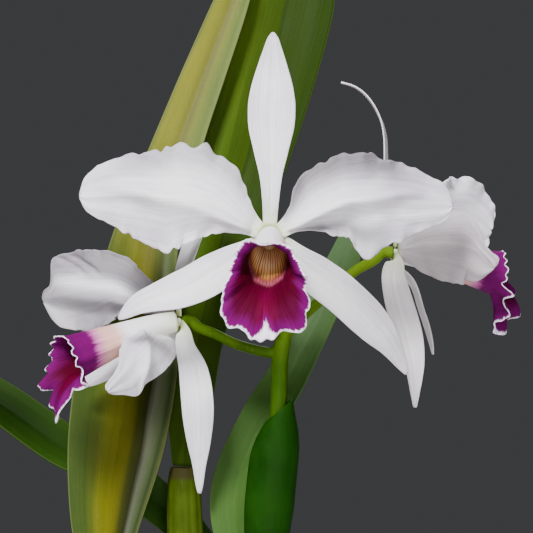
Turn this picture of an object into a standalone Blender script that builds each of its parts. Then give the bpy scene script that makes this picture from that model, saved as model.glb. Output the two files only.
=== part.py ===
# Cattleya orchid in a plain clay pot. Three blooms open on one stalk that rises from a green sheath,
# among four strap leaves, each on its own swollen stem.
# Lengths are in millimetres and turn into metres where a mesh is made. +Z is up, the viewer of the
# front bloom stands on the -Y side, and the origin is the middle of the pot's underside.

import math
import random

import bmesh
import bpy
from mathutils import Vector

MM = 0.001
TOUCH = 0.3  # clearance between pieces that touch
CUT_EXTRA = 5.0  # how far a cutter runs past the wall that it cuts

# pot and bark
POT_HEIGHT = 128.0
POT_FOOT_RADIUS = 50.0
POT_NECK_RADIUS = 71.0
POT_RIM_RADIUS = 77.0
POT_RIM_HEIGHT = 24.0
POT_WALL = 5.0
POT_FLOOR = 7.0
POT_SIDES = 36
DRAIN_RADIUS = 6.0
DRAIN_DISTANCE = 27.0
DRAIN_COUNT = 3
BARK_TOP = 100.0
BARK_CHIPS = 34
CHIP_SIZE = (23.0, 15.0, 8.5)
CHIP_HIGHEST = 108.8
CHIP_RIM_GAP = 13.0  # from the pot's inside to the middle of the outermost chip

# rhizome, roots and pseudobulbs
RHIZOME_RADIUS = 5.5
RHIZOME_LEVEL = 115.0
RHIZOME_STEPS = 16
BRANCH_STEPS = 6
RHIZOME_END = 9.0  # how far the rhizome runs on past its youngest pseudobulb
COLLAR_RADIUS = 6.0
COLLAR_TOP = 123.0
ROOT_RADIUS = 2.0
ROOT_HOLE_RADIUS = 3.6
ROOT_DEPTH = 84.0
ROOT_COUNT = 6
ROOT_REACH = 24.0
ROOT_STEPS = 9
BULB_SIDES = 12
BULB_STEPS = 12
BULB_FOOT_RADIUS = 5.6
BULB_END_RUN = 12.0  # how far a pseudobulb runs straight up from its foot and up to its top
BULB_BOW = 1.5
BULB_FLATNESS = 0.86
BULB_GROOVE_DEPTH = 0.06
BULB_GROOVES = 5
BULB_TO_LEAF = 0.9  # between a pseudobulb's flat top and the middle of its leaf's foot

# each growth: foot on the rhizome, top under the leaf, and the radius where it is fattest
GROWTHS = {
    "flowering": {"foot": (22.0, -4.0), "top": (28.5, 1.0, 262.0), "radius": 11.5, "tip": 10.5},
    "tall": {"foot": (-8.0, 22.0), "top": (-10.4, 28.0, 322.0), "radius": 9.3, "tip": 7.0},
    "left": {"foot": (-36.0, 4.0), "top": (-43.0, 8.0, 258.0), "radius": 11.0, "tip": 7.5},
    "rear": {"foot": (10.0, 56.0), "top": (4.4, 49.0, 263.0), "radius": 10.5, "tip": 7.0},
}

# leaves: points along the midrib, and half widths to its two sides as (share of length, left, right)
LEAVES = {
    "leaf_left": {
        "spine": [
            (-43.0, 8.0, 258.0), (-43.0, 8.0, 266.0), (-48.2, 12.0, 291.0), (-42.0, 20.0, 342.0),
            (-34.5, 30.0, 391.0), (-29.5, 35.0, 431.0), (-14.5, 40.0, 479.0), (-2.5, 43.0, 513.0),
            (13.0, 48.0, 554.0), (23.0, 53.0, 582.0),
        ],
        "widths": [
            (0.0, 6.0, 6.0), (0.1, 17.0, 17.0), (0.25, 26.0, 26.0), (0.31, 26.5, 26.5), (0.4, 24.0, 24.0),
            (0.53, 18.5, 17.5), (0.69, 13.5, 13.0), (0.8, 11.5, 11.5), (0.93, 9.0, 8.5), (1.0, 2.0, 2.0),
        ],
        "face": [(0.0, (0.1, -1.0, 0.0)), (0.5, (0.0, -1.0, 0.2)), (1.0, (0.35, -1.0, 0.3))],
        "fold": 0.22,
    },
    "leaf_tall": {
        "spine": [
            (-10.4, 28.0, 322.0), (-7.6, 32.0, 354.0), (-2.8, 38.0, 389.0), (8.0, 46.0, 434.0),
            (20.0, 52.0, 472.0), (31.0, 58.0, 513.0), (41.0, 64.0, 556.0), (51.0, 70.0, 596.0),
        ],
        "widths": [
            (0.0, 6.0, 6.0), (0.115, 11.5, 11.5), (0.24, 13.0, 13.0), (0.41, 17.0, 17.0),
            (0.55, 20.5, 20.5), (0.7, 23.5, 23.5), (0.84, 24.5, 25.0), (0.93, 18.0, 19.0),
            (0.98, 9.0, 9.0), (1.0, 2.5, 2.5),
        ],
        "face": [(0.0, (0.0, -1.0, 0.0)), (1.0, (0.0, -1.0, 0.2))],
        "fold": 0.2,
    },
    "leaf_right": {
        "spine": [
            (25.0, 8.0, 262.0), (25.0, 8.0, 269.0), (15.5, 11.0, 292.0), (16.5, 16.0, 316.0),
            (28.0, 24.0, 343.0), (40.0, 32.0, 363.0), (49.5, 40.0, 381.0), (58.5, 48.0, 398.5),
            (71.0, 60.0, 425.0), (81.5, 72.0, 455.0),
        ],
        "widths": [
            (0.0, 5.0, 5.0), (0.12, 11.0, 11.0), (0.25, 13.0, 13.0), (0.4, 12.5, 12.5),
            (0.55, 11.5, 11.5), (0.8, 10.0, 10.0), (0.93, 6.5, 6.5), (1.0, 1.5, 1.5),
        ],
        "face": [(0.0, (-0.2, -1.0, 0.0)), (0.4, (-0.3, -1.0, 0.35)), (1.0, (-0.3, -1.0, 0.6))],
        "fold": 0.3,
    },
    "leaf_rear": {
        "spine": [
            (4.4, 49.0, 263.0), (4.4, 49.0, 271.0), (-8.0, 47.0, 287.0), (-23.0, 44.0, 301.0),
            (-45.0, 40.0, 318.0), (-70.5, 38.0, 330.0), (-102.5, 38.0, 352.0), (-133.0, 42.0, 368.0),
            (-159.0, 48.0, 375.0),
        ],
        "widths": [
            (0.0, 5.5, 5.5), (0.12, 9.5, 9.5), (0.25, 11.5, 11.5), (0.4, 12.5, 12.5),
            (0.7, 12.0, 12.0), (0.88, 8.5, 8.5), (1.0, 1.5, 1.5),
        ],
        "face": [(0.0, (0.0, -1.0, 0.0)), (0.3, (-0.3, -0.9, 0.5)), (1.0, (-0.3, -0.8, 0.8))],
        "fold": 0.35,
    },
}
LEAF_THICKNESS = 2.0
LEAF_STEPS = 20
LEAF_COLUMNS = 4

# stalk and its sheath
PEDUNCLE_RADIUS = 4.0
PEDICEL_RADIUS = 2.5
OVARY_RADIUS = 2.9
STALK_SIDES = 8
STALK_STEPS = 16
PEDICEL_STEPS = 14
OVARY_LENGTH = 5.0
STALK_ROUTE = [
    (28.5, -3.0, 261.6), (31.0, -3.5, 300.0), (34.0, -4.0, 330.0), (36.2, -4.3, 357.0),
    (37.0, -4.5, 379.0), (39.5, -4.5, 388.0),
]
PEDICEL_ROUTES = {
    "front": [(38.3, -4.5, 384.0), (40.5, -10.0, 396.0), (39.0, -20.0, 409.0), (35.0, -32.0, 422.0)],
    "left": [
        (37.2, -4.5, 381.0), (30.0, -4.5, 379.5), (19.0, -4.8, 383.0), (6.5, -5.0, 387.8),
        (-1.0, -5.0, 391.0),
    ],
    "right": [
        (39.4, -4.5, 387.6), (45.5, -4.0, 394.5), (53.0, -3.0, 401.5), (71.0, 1.0, 417.0),
        (82.0, 5.0, 423.5),
    ],
}
SPATHE_WALL = 0.9
SPATHE_COLUMNS = 16
SPATHE_MOUTH_SLANT = 5.0
# spathe: centre, half width and half depth from its foot up to its mouth
SPATHE_RINGS = [
    ((28.6, -3.0, 261.6), 7.0, 5.6), ((29.4, -3.2, 276.0), 9.2, 6.2), ((30.4, -3.4, 293.0), 10.4, 6.6),
    ((31.6, -3.6, 308.0), 11.4, 6.8), ((33.6, -4.0, 328.0), 11.3, 6.6), ((35.0, -4.1, 338.0), 10.0, 6.2),
    ((36.0, -4.3, 346.0), 7.6, 5.8), ((36.6, -4.4, 352.0), 5.7, 5.6),
]

# blooms: every point is measured from the bloom's centre, where its sepals, petals, lip and column meet
SEPAL_THICKNESS = 1.0
PETAL_THICKNESS = 0.9
LIP_THICKNESS = 0.9
BASE_RADIUS = 2.7
BASE_RUN = 4.0
SEPAL_LAYER = -1.8
PETAL_LAYER = -0.4
LIP_LAYER = 0.7
COLUMN_START = -2.3
OVARY_END = -2.6
SEPAL_STEPS, SEPAL_COLUMNS = 13, 4
PETAL_STEPS, PETAL_COLUMNS = 16, 6

BLOOMS = {
    "front_bloom": {
        "centre": (31.9, -50.0, 434.0),
        "axis": (0.0, -1.0, -0.06),
        "lip_axis": (-0.035, -0.975, -0.2),
        "lip_length": 46.0,
        "dorsal_sepal": {
            "angle": 90.0,
            "spine": [(0.3, -1.5, 20.0), (0.5, 0.0, 45.0), (1.0, 3.0, 70.0), (1.4, 7.0, 93.5)],
            "widths": [
                (0.0, 3.2, 3.2), (0.1, 3.6, 3.6), (0.25, 5.0, 5.0), (0.4, 8.2, 8.2), (0.55, 10.9, 10.9),
                (0.7, 9.8, 9.8), (0.85, 6.2, 6.2), (0.95, 2.8, 2.8), (1.0, 0.8, 0.8),
            ],
            "face": (0.0, -1.0, 0.1),
            "cup": 0.12,
        },
        "left_petal": {
            "angle": 150.0,
            "spine": [
                (-14.0, -3.5, 8.5), (-24.0, -5.5, 14.5), (-37.0, -6.5, 18.0), (-50.0, -5.5, 18.5),
                (-65.0, -3.0, 19.5), (-87.0, 3.0, 18.5),
            ],
            "widths": [
                (0.0, 3.0, 3.0), (0.17, 7.0, 7.4), (0.3, 15.0, 17.5), (0.44, 22.5, 24.5),
                (0.545, 27.0, 22.5), (0.63, 22.5, 20.5), (0.745, 19.0, 18.0), (0.84, 14.0, 15.5),
                (0.93, 8.0, 11.0), (0.975, 4.5, 6.0), (1.0, 1.0, 1.0),
            ],
            "face": (0.0, -1.0, 0.0),
            "cup": -0.06,
            "ruffle": 1.6,
            "waves": 7.0,
        },
        "right_petal": {
            "angle": 30.0,
            "spine": [
                (14.0, -3.5, 8.5), (23.0, -5.5, 13.5), (35.0, -6.5, 16.5), (48.0, -5.5, 16.0),
                (65.0, -3.0, 15.5), (83.5, 3.0, 14.0),
            ],
            "widths": [
                (0.0, 3.0, 3.0), (0.17, 7.6, 7.4), (0.3, 15.5, 15.0), (0.44, 20.8, 18.8),
                (0.55, 21.5, 25.8), (0.64, 19.8, 21.8), (0.75, 16.8, 17.3), (0.86, 12.0, 10.6),
                (0.93, 9.5, 6.8), (0.975, 5.0, 4.2), (1.0, 1.0, 1.0),
            ],
            "face": (0.0, -1.0, 0.0),
            "cup": -0.06,
            "ruffle": 1.6,
            "waves": 7.0,
        },
        "left_sepal": {
            "angle": 210.0,
            "spine": [
                (-18.0, 0.0, -11.0), (-31.0, 0.5, -19.0), (-42.0, 1.5, -24.5), (-53.0, 3.0, -28.0),
                (-61.0, 5.0, -31.0), (-69.5, 8.0, -37.5),
            ],
            "widths": [
                (0.0, 3.2, 3.2), (0.23, 7.6, 7.6), (0.42, 9.2, 9.2), (0.58, 8.6, 8.6), (0.72, 6.8, 6.8),
                (0.84, 5.0, 5.0), (0.95, 2.4, 2.4), (1.0, 0.8, 0.8),
            ],
            "face": (0.0, -1.0, 0.0),
            "cup": 0.1,
        },
        "right_sepal": {
            "angle": 330.0,
            "spine": [
                (12.0, 0.0, -9.5), (21.0, 0.5, -17.0), (31.0, 1.5, -24.5), (41.0, 3.0, -33.5),
                (49.0, 4.5, -42.0), (56.0, 6.5, -51.0), (63.0, 9.0, -63.0),
            ],
            "widths": [
                (0.0, 3.2, 3.2), (0.15, 6.5, 6.5), (0.28, 9.4, 9.4), (0.42, 9.5, 9.5), (0.58, 9.4, 9.4),
                (0.71, 8.2, 8.2), (0.84, 4.8, 4.8), (0.95, 2.2, 2.2), (1.0, 0.8, 0.8),
            ],
            "face": (0.0, -1.0, 0.0),
            "cup": 0.1,
        },
    },
    "left_bloom": {
        "centre": (-12.8, -8.0, 397.0),
        "axis": (-0.93, -0.35, -0.08),
        "lip_axis": (-0.85, -0.46, -0.26),
        "lip_length": 51.5,
        "dorsal_sepal": {
            "angle": 90.0,
            "spine": [
                (0.5, 0.5, 14.0), (6.0, 5.5, 28.0), (10.4, 11.5, 43.5), (10.6, 14.0, 60.0), (9.5, 15.0, 74.0),
            ],
            "widths": [
                (0.0, 3.2, 3.2), (0.15, 4.5, 4.5), (0.4, 9.5, 9.5), (0.6, 10.5, 10.5), (0.8, 7.5, 7.5),
                (0.95, 2.6, 2.6), (1.0, 0.8, 0.8),
            ],
            "face": (-0.85, -0.5, 0.1),
            "cup": 0.12,
        },
        "rear_petal": {
            "angle": 155.0,
            "spine": [
                (-10.0, 8.0, 6.6), (-18.0, 13.0, 10.0), (-29.0, 20.0, 13.6), (-41.0, 27.0, 13.0),
                (-54.0, 33.0, 12.0), (-67.0, 38.0, 10.5),
            ],
            "widths": [
                (0.0, 3.0, 3.0), (0.15, 5.5, 6.0), (0.3, 11.0, 13.0), (0.45, 18.0, 19.0),
                (0.62, 22.5, 20.0), (0.8, 21.0, 19.0), (0.92, 15.5, 15.0), (0.98, 8.5, 8.5), (1.0, 3.0, 3.0),
            ],
            "face": (-0.5, -0.85, 0.0),
            "cup": 0.1,
            "ruffle": 1.6,
            "waves": 6.0,
        },
        "front_petal": {
            "angle": 20.0,
            "spine": [
                (-3.0, -10.0, 2.5), (-10.0, -20.5, 1.0), (-15.5, -29.0, -5.0), (-16.8, -36.0, -13.0),
                (-16.5, -43.0, -22.0), (-15.0, -49.0, -31.5),
            ],
            "widths": [
                (0.0, 3.0, 3.0), (0.15, 6.0, 4.0), (0.32, 16.0, 4.0), (0.48, 21.0, 5.0), (0.62, 21.0, 8.5),
                (0.76, 17.0, 14.0), (0.88, 10.0, 18.0), (0.96, 4.5, 17.5), (1.0, 1.5, 12.0),
            ],
            "face": (-0.1, -0.9, 0.45),
            "cup": -0.25,
            "fold": -0.35,
            "ruffle": 1.0,
            "waves": 5.0,
        },
        "front_sepal": {
            "angle": 325.0,
            "spine": [
                (4.9, -4.0, -14.0), (8.8, -5.0, -25.5), (10.6, -4.0, -40.0), (11.0, 0.0, -59.0),
                (11.0, 6.0, -85.0),
            ],
            "widths": [
                (0.0, 3.2, 3.2), (0.15, 5.4, 5.4), (0.3, 7.6, 7.6), (0.48, 8.5, 8.5), (0.7, 6.0, 6.0),
                (0.85, 3.2, 3.2), (0.95, 1.9, 1.9), (1.0, 0.8, 0.8),
            ],
            "face": (-0.35, -0.93, 0.0),
            "cup": 0.12,
        },
        "rear_sepal": {
            "angle": 215.0,
            "spine": [(-16.0, 5.0, -12.0), (-30.0, 9.0, -22.0), (-43.0, 11.0, -31.5), (-52.0, 12.0, -38.5)],
            "widths": [(0.0, 3.2, 3.2), (0.3, 6.5, 6.5), (0.6, 7.5, 7.5), (0.85, 4.5, 4.5), (1.0, 0.8, 0.8)],
            "face": (-0.3, -0.93, 0.0),
            "cup": 0.1,
        },
    },
    "right_bloom": {
        "centre": (93.9, 8.0, 427.0),
        "axis": (0.98, 0.12, -0.06),
        "lip_axis": (0.97, 0.08, -0.08),
        "lip_length": 43.0,
        "dorsal_sepal": {
            "angle": 90.0,
            "spine": [
                (-3.0, -1.0, 18.4), (-5.9, -2.0, 35.3), (-6.4, -2.0, 54.6), (-8.8, -2.0, 65.2),
                (-14.6, -2.0, 74.9), (-20.9, -2.0, 80.2), (-27.6, -2.0, 82.4),
            ],
            "widths": [
                (0.0, 3.2, 3.2), (0.15, 4.5, 4.5), (0.4, 9.5, 9.5), (0.6, 10.0, 10.0), (0.8, 7.0, 7.0),
                (0.95, 2.6, 2.6), (1.0, 0.8, 0.8),
            ],
            "face": (0.98, 0.1, 0.1),
            "cup": 0.1,
        },
        "rear_petal": {
            "angle": 25.0,
            "spine": [
                (11.0, 9.0, 8.0), (23.0, 18.0, 15.4), (34.5, 26.0, 17.6), (46.5, 34.0, 10.0),
            ],
            "widths": [
                (0.0, 3.0, 3.0), (0.2, 7.0, 7.0), (0.4, 15.5, 15.5), (0.62, 18.5, 20.0), (0.82, 13.0, 17.5),
                (0.93, 8.5, 12.0), (0.98, 5.0, 7.5), (1.0, 2.0, 2.0),
            ],
            "face": (0.55, -0.8, 0.0),
            "cup": 0.12,
            "ruffle": 1.8,
            "waves": 6.0,
        },
        "front_petal": {
            "angle": 155.0,
            "spine": [
                (3.0, -9.0, 2.5), (11.5, -17.0, 4.5), (24.0, -25.0, 5.0), (34.5, -31.0, 2.0),
                (43.0, -34.0, -7.0),
            ],
            "widths": [
                (0.0, 3.0, 3.0), (0.18, 8.0, 7.0), (0.35, 14.5, 14.0), (0.56, 20.5, 18.5), (0.75, 17.5, 15.0),
                (0.9, 12.0, 9.0), (0.97, 7.0, 4.5), (1.0, 1.5, 1.5),
            ],
            "face": (0.6, 0.75, 0.1),
            "cup": 0.12,
            "ruffle": 1.4,
            "waves": 6.0,
        },
        "front_sepal": {
            "angle": 215.0,
            "spine": [
                (-2.4, -3.0, -11.5), (-0.4, -5.0, -22.6), (3.8, -6.0, -37.0), (7.4, -5.0, -54.0),
                (8.2, 0.0, -74.5),
            ],
            "widths": [
                (0.0, 3.2, 3.2), (0.15, 6.0, 6.0), (0.32, 7.2, 7.2), (0.5, 7.4, 7.4), (0.7, 5.4, 5.4),
                (0.9, 2.4, 2.4), (1.0, 0.8, 0.8),
            ],
            "face": (0.6, 0.75, 0.0),
            "cup": 0.12,
        },
        "rear_sepal": {
            "angle": 325.0,
            "spine": [(7.0, 8.0, -15.5), (12.0, 17.0, -28.0), (16.6, 26.0, -40.5), (19.5, 33.0, -50.0)],
            "widths": [(0.0, 3.2, 3.2), (0.3, 6.0, 6.0), (0.6, 6.5, 6.5), (0.85, 4.0, 4.0), (1.0, 0.8, 0.8)],
            "face": (0.9, 0.35, 0.0),
            "cup": 0.1,
        },
    },
}

# lip: the tube's sections as (share of its length, centre above the path, half width, half height)
LIP_SECTIONS = [(0.0, 0.0, 4.6, 4.6), (0.3, -1.2, 6.2, 5.7), (0.6, -2.8, 8.4, 7.3), (1.0, -5.6, 10.6, 10.0)]
LIP_BEND_LENGTH = 20.0
LIP_SLIT_DEGREES = 5.0  # half the opening between the two side lobes, over the column
# lip margin by angle from the bottom: how far it reaches outward and forward from the tube's mouth
LIP_FLARE = [
    (0.0, 17.5, 21.0), (30.0, 18.5, 20.0), (50.0, 15.0, 16.5), (65.0, 9.5, 13.0), (90.0, 4.5, 7.5),
    (130.0, 2.8, 4.0), (160.0, 1.3, 2.5), (180.0, 0.6, 2.0),
]
LIP_TUBE_STEPS, LIP_FLARE_STEPS, LIP_COLUMNS = 4, 3, 26
LIP_RUFFLE = 2.0
LIP_WAVES = 7.0

COLUMN_LENGTH = 25.0
COLUMN_RADII = [(0.0, 2.1), (0.4, 2.4), (0.75, 2.9), (0.92, 3.0), (1.0, 1.9)]
COLUMN_DROP = 0.5  # how far the column lies below the tube's path
COLUMN_SIDES = 10
COLUMN_STEPS = 6

COLOURS = {  # colour, roughness
    "petal_white": ((0.86, 0.84, 0.87), 0.55),
    "lip_magenta": ((0.42, 0.0, 0.3), 0.5),
    "stalk_green": ((0.3, 0.52, 0.1), 0.45),
    "leaf_green": ((0.16, 0.3, 0.07), 0.38),
    "bulb_green": ((0.38, 0.44, 0.14), 0.42),
    "root_grey": ((0.55, 0.52, 0.42), 0.8),
    "bark_brown": ((0.16, 0.09, 0.05), 0.9),
    "pot_clay": ((0.62, 0.3, 0.18), 0.85),
}


def clear_scene():
    for obj in list(bpy.data.objects):
        bpy.data.objects.remove(obj, do_unlink=True)


def material(name):
    found = bpy.data.materials.get(name)
    if found:
        return found
    colour, roughness = COLOURS[name]
    made = bpy.data.materials.new(name)
    made.use_nodes = True
    shader = made.node_tree.nodes["Principled BSDF"]
    shader.inputs["Base Color"].default_value = (*colour, 1.0)
    shader.inputs["Roughness"].default_value = roughness
    shader.inputs["Metallic"].default_value = 0.0
    return made


def add_object(name, points, faces, finish):
    mesh = bpy.data.meshes.new(name)
    mesh.from_pydata([Vector(point) * MM for point in points], [], faces)
    mesh.materials.append(material(finish))
    mesh.shade_smooth()
    mesh.set_sharp_from_angle(angle=math.radians(50.0))
    obj = bpy.data.objects.new(name, mesh)
    bpy.context.scene.collection.objects.link(obj)
    return obj


def ramp(stops, t):
    """The values at t on straight lines between stops of (t, value, ...)."""
    if t <= stops[0][0]:
        return stops[0][1:]
    for low, high in zip(stops, stops[1:]):
        if t <= high[0]:
            share = (t - low[0]) / (high[0] - low[0])
            return tuple(a + (b - a) * share for a, b in zip(low[1:], high[1:]))
    return stops[-1][1:]


def smooth_path(points, count):
    """count + 1 points spaced evenly along a Catmull-Rom curve through the given points."""
    fine_steps = 24
    points = [Vector(point) for point in points]
    ends = [2 * points[0] - points[1], *points, 2 * points[-1] - points[-2]]
    fine = []
    for a, b, c, d in zip(ends, ends[1:], ends[2:], ends[3:]):
        for step in range(fine_steps):
            s = step / fine_steps
            fine.append(
                0.5 * (2 * b + (c - a) * s + (2 * a - 5 * b + 4 * c - d) * s * s
                       + (3 * b - a - 3 * c + d) * s**3)
            )
    fine.append(points[-1])
    lengths = [0.0]
    for a, b in zip(fine, fine[1:]):
        lengths.append(lengths[-1] + (b - a).length)
    path = []
    at = 0
    for index in range(count + 1):
        wanted = lengths[-1] * index / count
        while at < len(fine) - 2 and lengths[at + 1] < wanted:
            at += 1
        share = (wanted - lengths[at]) / (lengths[at + 1] - lengths[at])
        path.append(fine[at].lerp(fine[at + 1], share))
    return path


def tangents(path):
    last = len(path) - 1
    return [(path[min(i + 1, last)] - path[max(i - 1, 0)]).normalized() for i in range(last + 1)]


def sheet_solid(name, grid, thickness, finish, wrap=False):
    """A closed solid round a grid of points, split into triangles alike on both of its faces.

    thickness(i, j) is the full thickness at a point, and wrap joins the last column to the first.
    """
    rows, columns = len(grid), len(grid[0])
    points, under = [], []
    for i in range(rows):
        for j in range(columns):
            low_j, high_j = (j - 1, (j + 1) % columns) if wrap else (max(j - 1, 0), min(j + 1, columns - 1))
            along = grid[min(i + 1, rows - 1)][j] - grid[max(i - 1, 0)][j]
            across = grid[i][high_j] - grid[i][low_j]
            out = along.cross(across).normalized() * thickness(i, j) / 2
            points.append(grid[i][j] + out)
            under.append(grid[i][j] - out)
    points += under
    count = rows * columns
    faces = []
    for i in range(rows - 1):
        for j in range(columns if wrap else columns - 1):
            right = (j + 1) % columns
            a, b = i * columns + j, (i + 1) * columns + j
            c, d = (i + 1) * columns + right, i * columns + right
            faces += [(a, b, c), (a, c, d)]
            faces += [(count + c, count + b, count + a), (count + d, count + c, count + a)]
    rim = []
    for j in range(columns if wrap else columns - 1):
        right = (j + 1) % columns
        rim.append((j, right))
        rim.append(((rows - 1) * columns + right, (rows - 1) * columns + j))
    if not wrap:
        for i in range(rows - 1):
            rim.append(((i + 1) * columns, i * columns))
            rim.append((i * columns + columns - 1, (i + 1) * columns + columns - 1))
    for a, b in rim:
        faces += [(a, b, count + b), (a, count + b, count + a)]
    return add_object(name, points, faces, finish)


def tube(name, path, radii, sides, finish, up=(0.0, 1.0, 0.0), flat=1.0, groove=0.0, grooves=0):
    """A closed tube along a path, one radius a point. flat squeezes it along up, and groove ribs it."""
    along = tangents(path)
    side = along[0].cross(Vector(up)).normalized()
    points, faces = [], []
    for centre, direction, radius in zip(path, along, radii):
        side = (side - direction * side.dot(direction)).normalized()
        other = direction.cross(side)
        for k in range(sides):
            angle = math.tau * k / sides
            reach = radius * (1.0 - groove * (0.5 + 0.5 * math.cos(grooves * angle)))
            points.append(centre + side * math.cos(angle) * reach + other * math.sin(angle) * reach * flat)
    for i in range(len(path) - 1):
        for k in range(sides):
            right = (k + 1) % sides
            a, b = i * sides + k, i * sides + right
            faces.append((a, b, b + sides, a + sides))
    faces.append(tuple(range(sides - 1, -1, -1)))
    faces.append(tuple(range((len(path) - 1) * sides, len(path) * sides)))
    return add_object(name, points, faces, finish)


def apply_modifiers(obj):
    graph = bpy.context.evaluated_depsgraph_get()
    mesh = bpy.data.meshes.new_from_object(obj.evaluated_get(graph))
    obj.modifiers.clear()
    obj.data = mesh


def combine(target, others, operation, solver):
    """Joins the others to the target, or cuts them from it, and removes them."""
    group = bpy.data.collections.new("combined")
    bpy.context.scene.collection.children.link(group)
    for other in others:
        bpy.context.scene.collection.objects.unlink(other)
        group.objects.link(other)
        other.hide_render = True
        other.display_type = "WIRE"
    step = target.modifiers.new(operation.lower(), "BOOLEAN")
    step.operation = operation
    step.solver = solver
    step.operand_type = "COLLECTION"
    step.collection = group
    apply_modifiers(target)
    for other in others:
        bpy.data.objects.remove(other, do_unlink=True)
    bpy.data.collections.remove(group)


def keep_outer_shell(obj):
    """Fills the hollows that a union sealed, by dropping every island of the mesh but the largest."""
    work = bmesh.new()
    work.from_mesh(obj.data)
    bmesh.ops.remove_doubles(work, verts=work.verts, dist=1e-6)
    left, islands = set(work.faces), []
    while left:
        front = [left.pop()]
        island = list(front)
        while front:
            face = front.pop()
            near = {other for edge in face.edges for other in edge.link_faces} & left
            left -= near
            front += near
            island += near
        islands.append(island)
    islands.sort(key=lambda island: sum(face.calc_area() for face in island))
    loose = [face for island in islands[:-1] for face in island]
    bmesh.ops.delete(work, geom=loose, context="FACES")
    work.to_mesh(obj.data)
    work.free()


def turned(name, profile, sides, finish):
    """A solid of revolution about Z from a closed profile of (radius, height)."""
    work = bmesh.new()
    corners = [work.verts.new((radius * MM, 0.0, height * MM)) for radius, height in profile]
    edges = [work.edges.new(pair) for pair in zip(corners, corners[1:] + corners[:1])]
    bmesh.ops.spin(
        work, geom=corners + edges, cent=(0.0, 0.0, 0.0), axis=(0.0, 0.0, 1.0), angle=math.tau,
        steps=sides, use_merge=True,
    )
    bmesh.ops.remove_doubles(work, verts=work.verts, dist=1e-6)
    bmesh.ops.dissolve_degenerate(work, dist=1e-7, edges=work.edges)
    bmesh.ops.recalc_face_normals(work, faces=work.faces)
    mesh = bpy.data.meshes.new(name)
    work.to_mesh(mesh)
    work.free()
    mesh.materials.append(material(finish))
    mesh.shade_smooth()
    mesh.set_sharp_from_angle(angle=math.radians(40.0))
    obj = bpy.data.objects.new(name, mesh)
    bpy.context.scene.collection.objects.link(obj)
    return obj


def cylinder(name, x, y, low, high, radius, sides, finish):
    path = [Vector((x, y, low)), Vector((x, y, high))]
    return tube(name, path, [radius, radius], sides, finish)


def pot_radius(height):
    share = height / (POT_HEIGHT - POT_RIM_HEIGHT)
    return POT_FOOT_RADIUS + (POT_NECK_RADIUS - POT_FOOT_RADIUS) * min(share, 1.0)


def make_pot():
    shoulder = POT_HEIGHT - POT_RIM_HEIGHT
    inner_mouth = POT_RIM_RADIUS - POT_WALL - 1.0
    profile = [
        (0.0, POT_FLOOR), (0.0, 0.0), (POT_FOOT_RADIUS - 1.5, 0.0), (POT_FOOT_RADIUS, 1.5),
        (POT_NECK_RADIUS, shoulder), (POT_RIM_RADIUS - 1.5, shoulder), (POT_RIM_RADIUS - 0.5, shoulder + 1.5),
        (POT_RIM_RADIUS, POT_HEIGHT - 3.0), (POT_RIM_RADIUS - 1.0, POT_HEIGHT - 0.8),
        (POT_RIM_RADIUS - 2.8, POT_HEIGHT), (inner_mouth + 0.8, POT_HEIGHT - 0.8),
        (inner_mouth, POT_HEIGHT - 2.5), (POT_NECK_RADIUS - POT_WALL, shoulder - 4.0),
        (POT_FOOT_RADIUS - POT_WALL, POT_FLOOR),
    ]
    pot = turned("pot", profile, POT_SIDES, "pot_clay")
    drains = []
    for index in range(DRAIN_COUNT):
        angle = math.tau * (index + 0.5) / DRAIN_COUNT
        x, y = DRAIN_DISTANCE * math.cos(angle), DRAIN_DISTANCE * math.sin(angle)
        drains.append(
            cylinder(f"drain_{index}", x, y, -CUT_EXTRA, POT_FLOOR + CUT_EXTRA, DRAIN_RADIUS, 20, "pot_clay")
        )
    combine(pot, drains, "DIFFERENCE", "EXACT")
    return pot


def bark_chip(index, draw):
    """One rough, six-sided chip, tilted, with its highest corner kept under the rhizome."""
    golden = math.radians(137.508)
    reach = (pot_radius(BARK_TOP) - POT_WALL - CHIP_RIM_GAP) * math.sqrt((index + 0.5) / BARK_CHIPS)
    centre = Vector((reach * math.cos(index * golden), reach * math.sin(index * golden), BARK_TOP))
    turn, tilt = draw.uniform(0.0, math.tau), draw.uniform(-0.4, 0.4)
    long_side = Vector((math.cos(turn) * math.cos(tilt), math.sin(turn) * math.cos(tilt), math.sin(tilt)))
    short_side = Vector((-math.sin(turn), math.cos(turn), draw.uniform(-0.35, 0.35))).normalized()
    thick_side = long_side.cross(short_side).normalized()
    size = [half * draw.uniform(0.8, 1.15) / 2 for half in CHIP_SIZE]
    points = []
    for a, b, c in ((x, y, z) for z in (-1, 1) for y in (-1, 1) for x in (-1, 1)):
        pull = [draw.uniform(0.75, 1.0) for _ in range(3)]
        points.append(
            long_side * a * size[0] * pull[0] + short_side * b * size[1] * pull[1]
            + thick_side * c * size[2] * pull[2]
        )
    centre.z = min(BARK_TOP + 2.0, CHIP_HIGHEST - max(point.z for point in points))
    faces = [(0, 2, 3, 1), (4, 5, 7, 6), (0, 1, 5, 4), (2, 6, 7, 3), (0, 4, 6, 2), (1, 3, 7, 5)]
    return add_object(f"chip_{index}", [centre + point for point in points], faces, "bark_brown")


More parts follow.
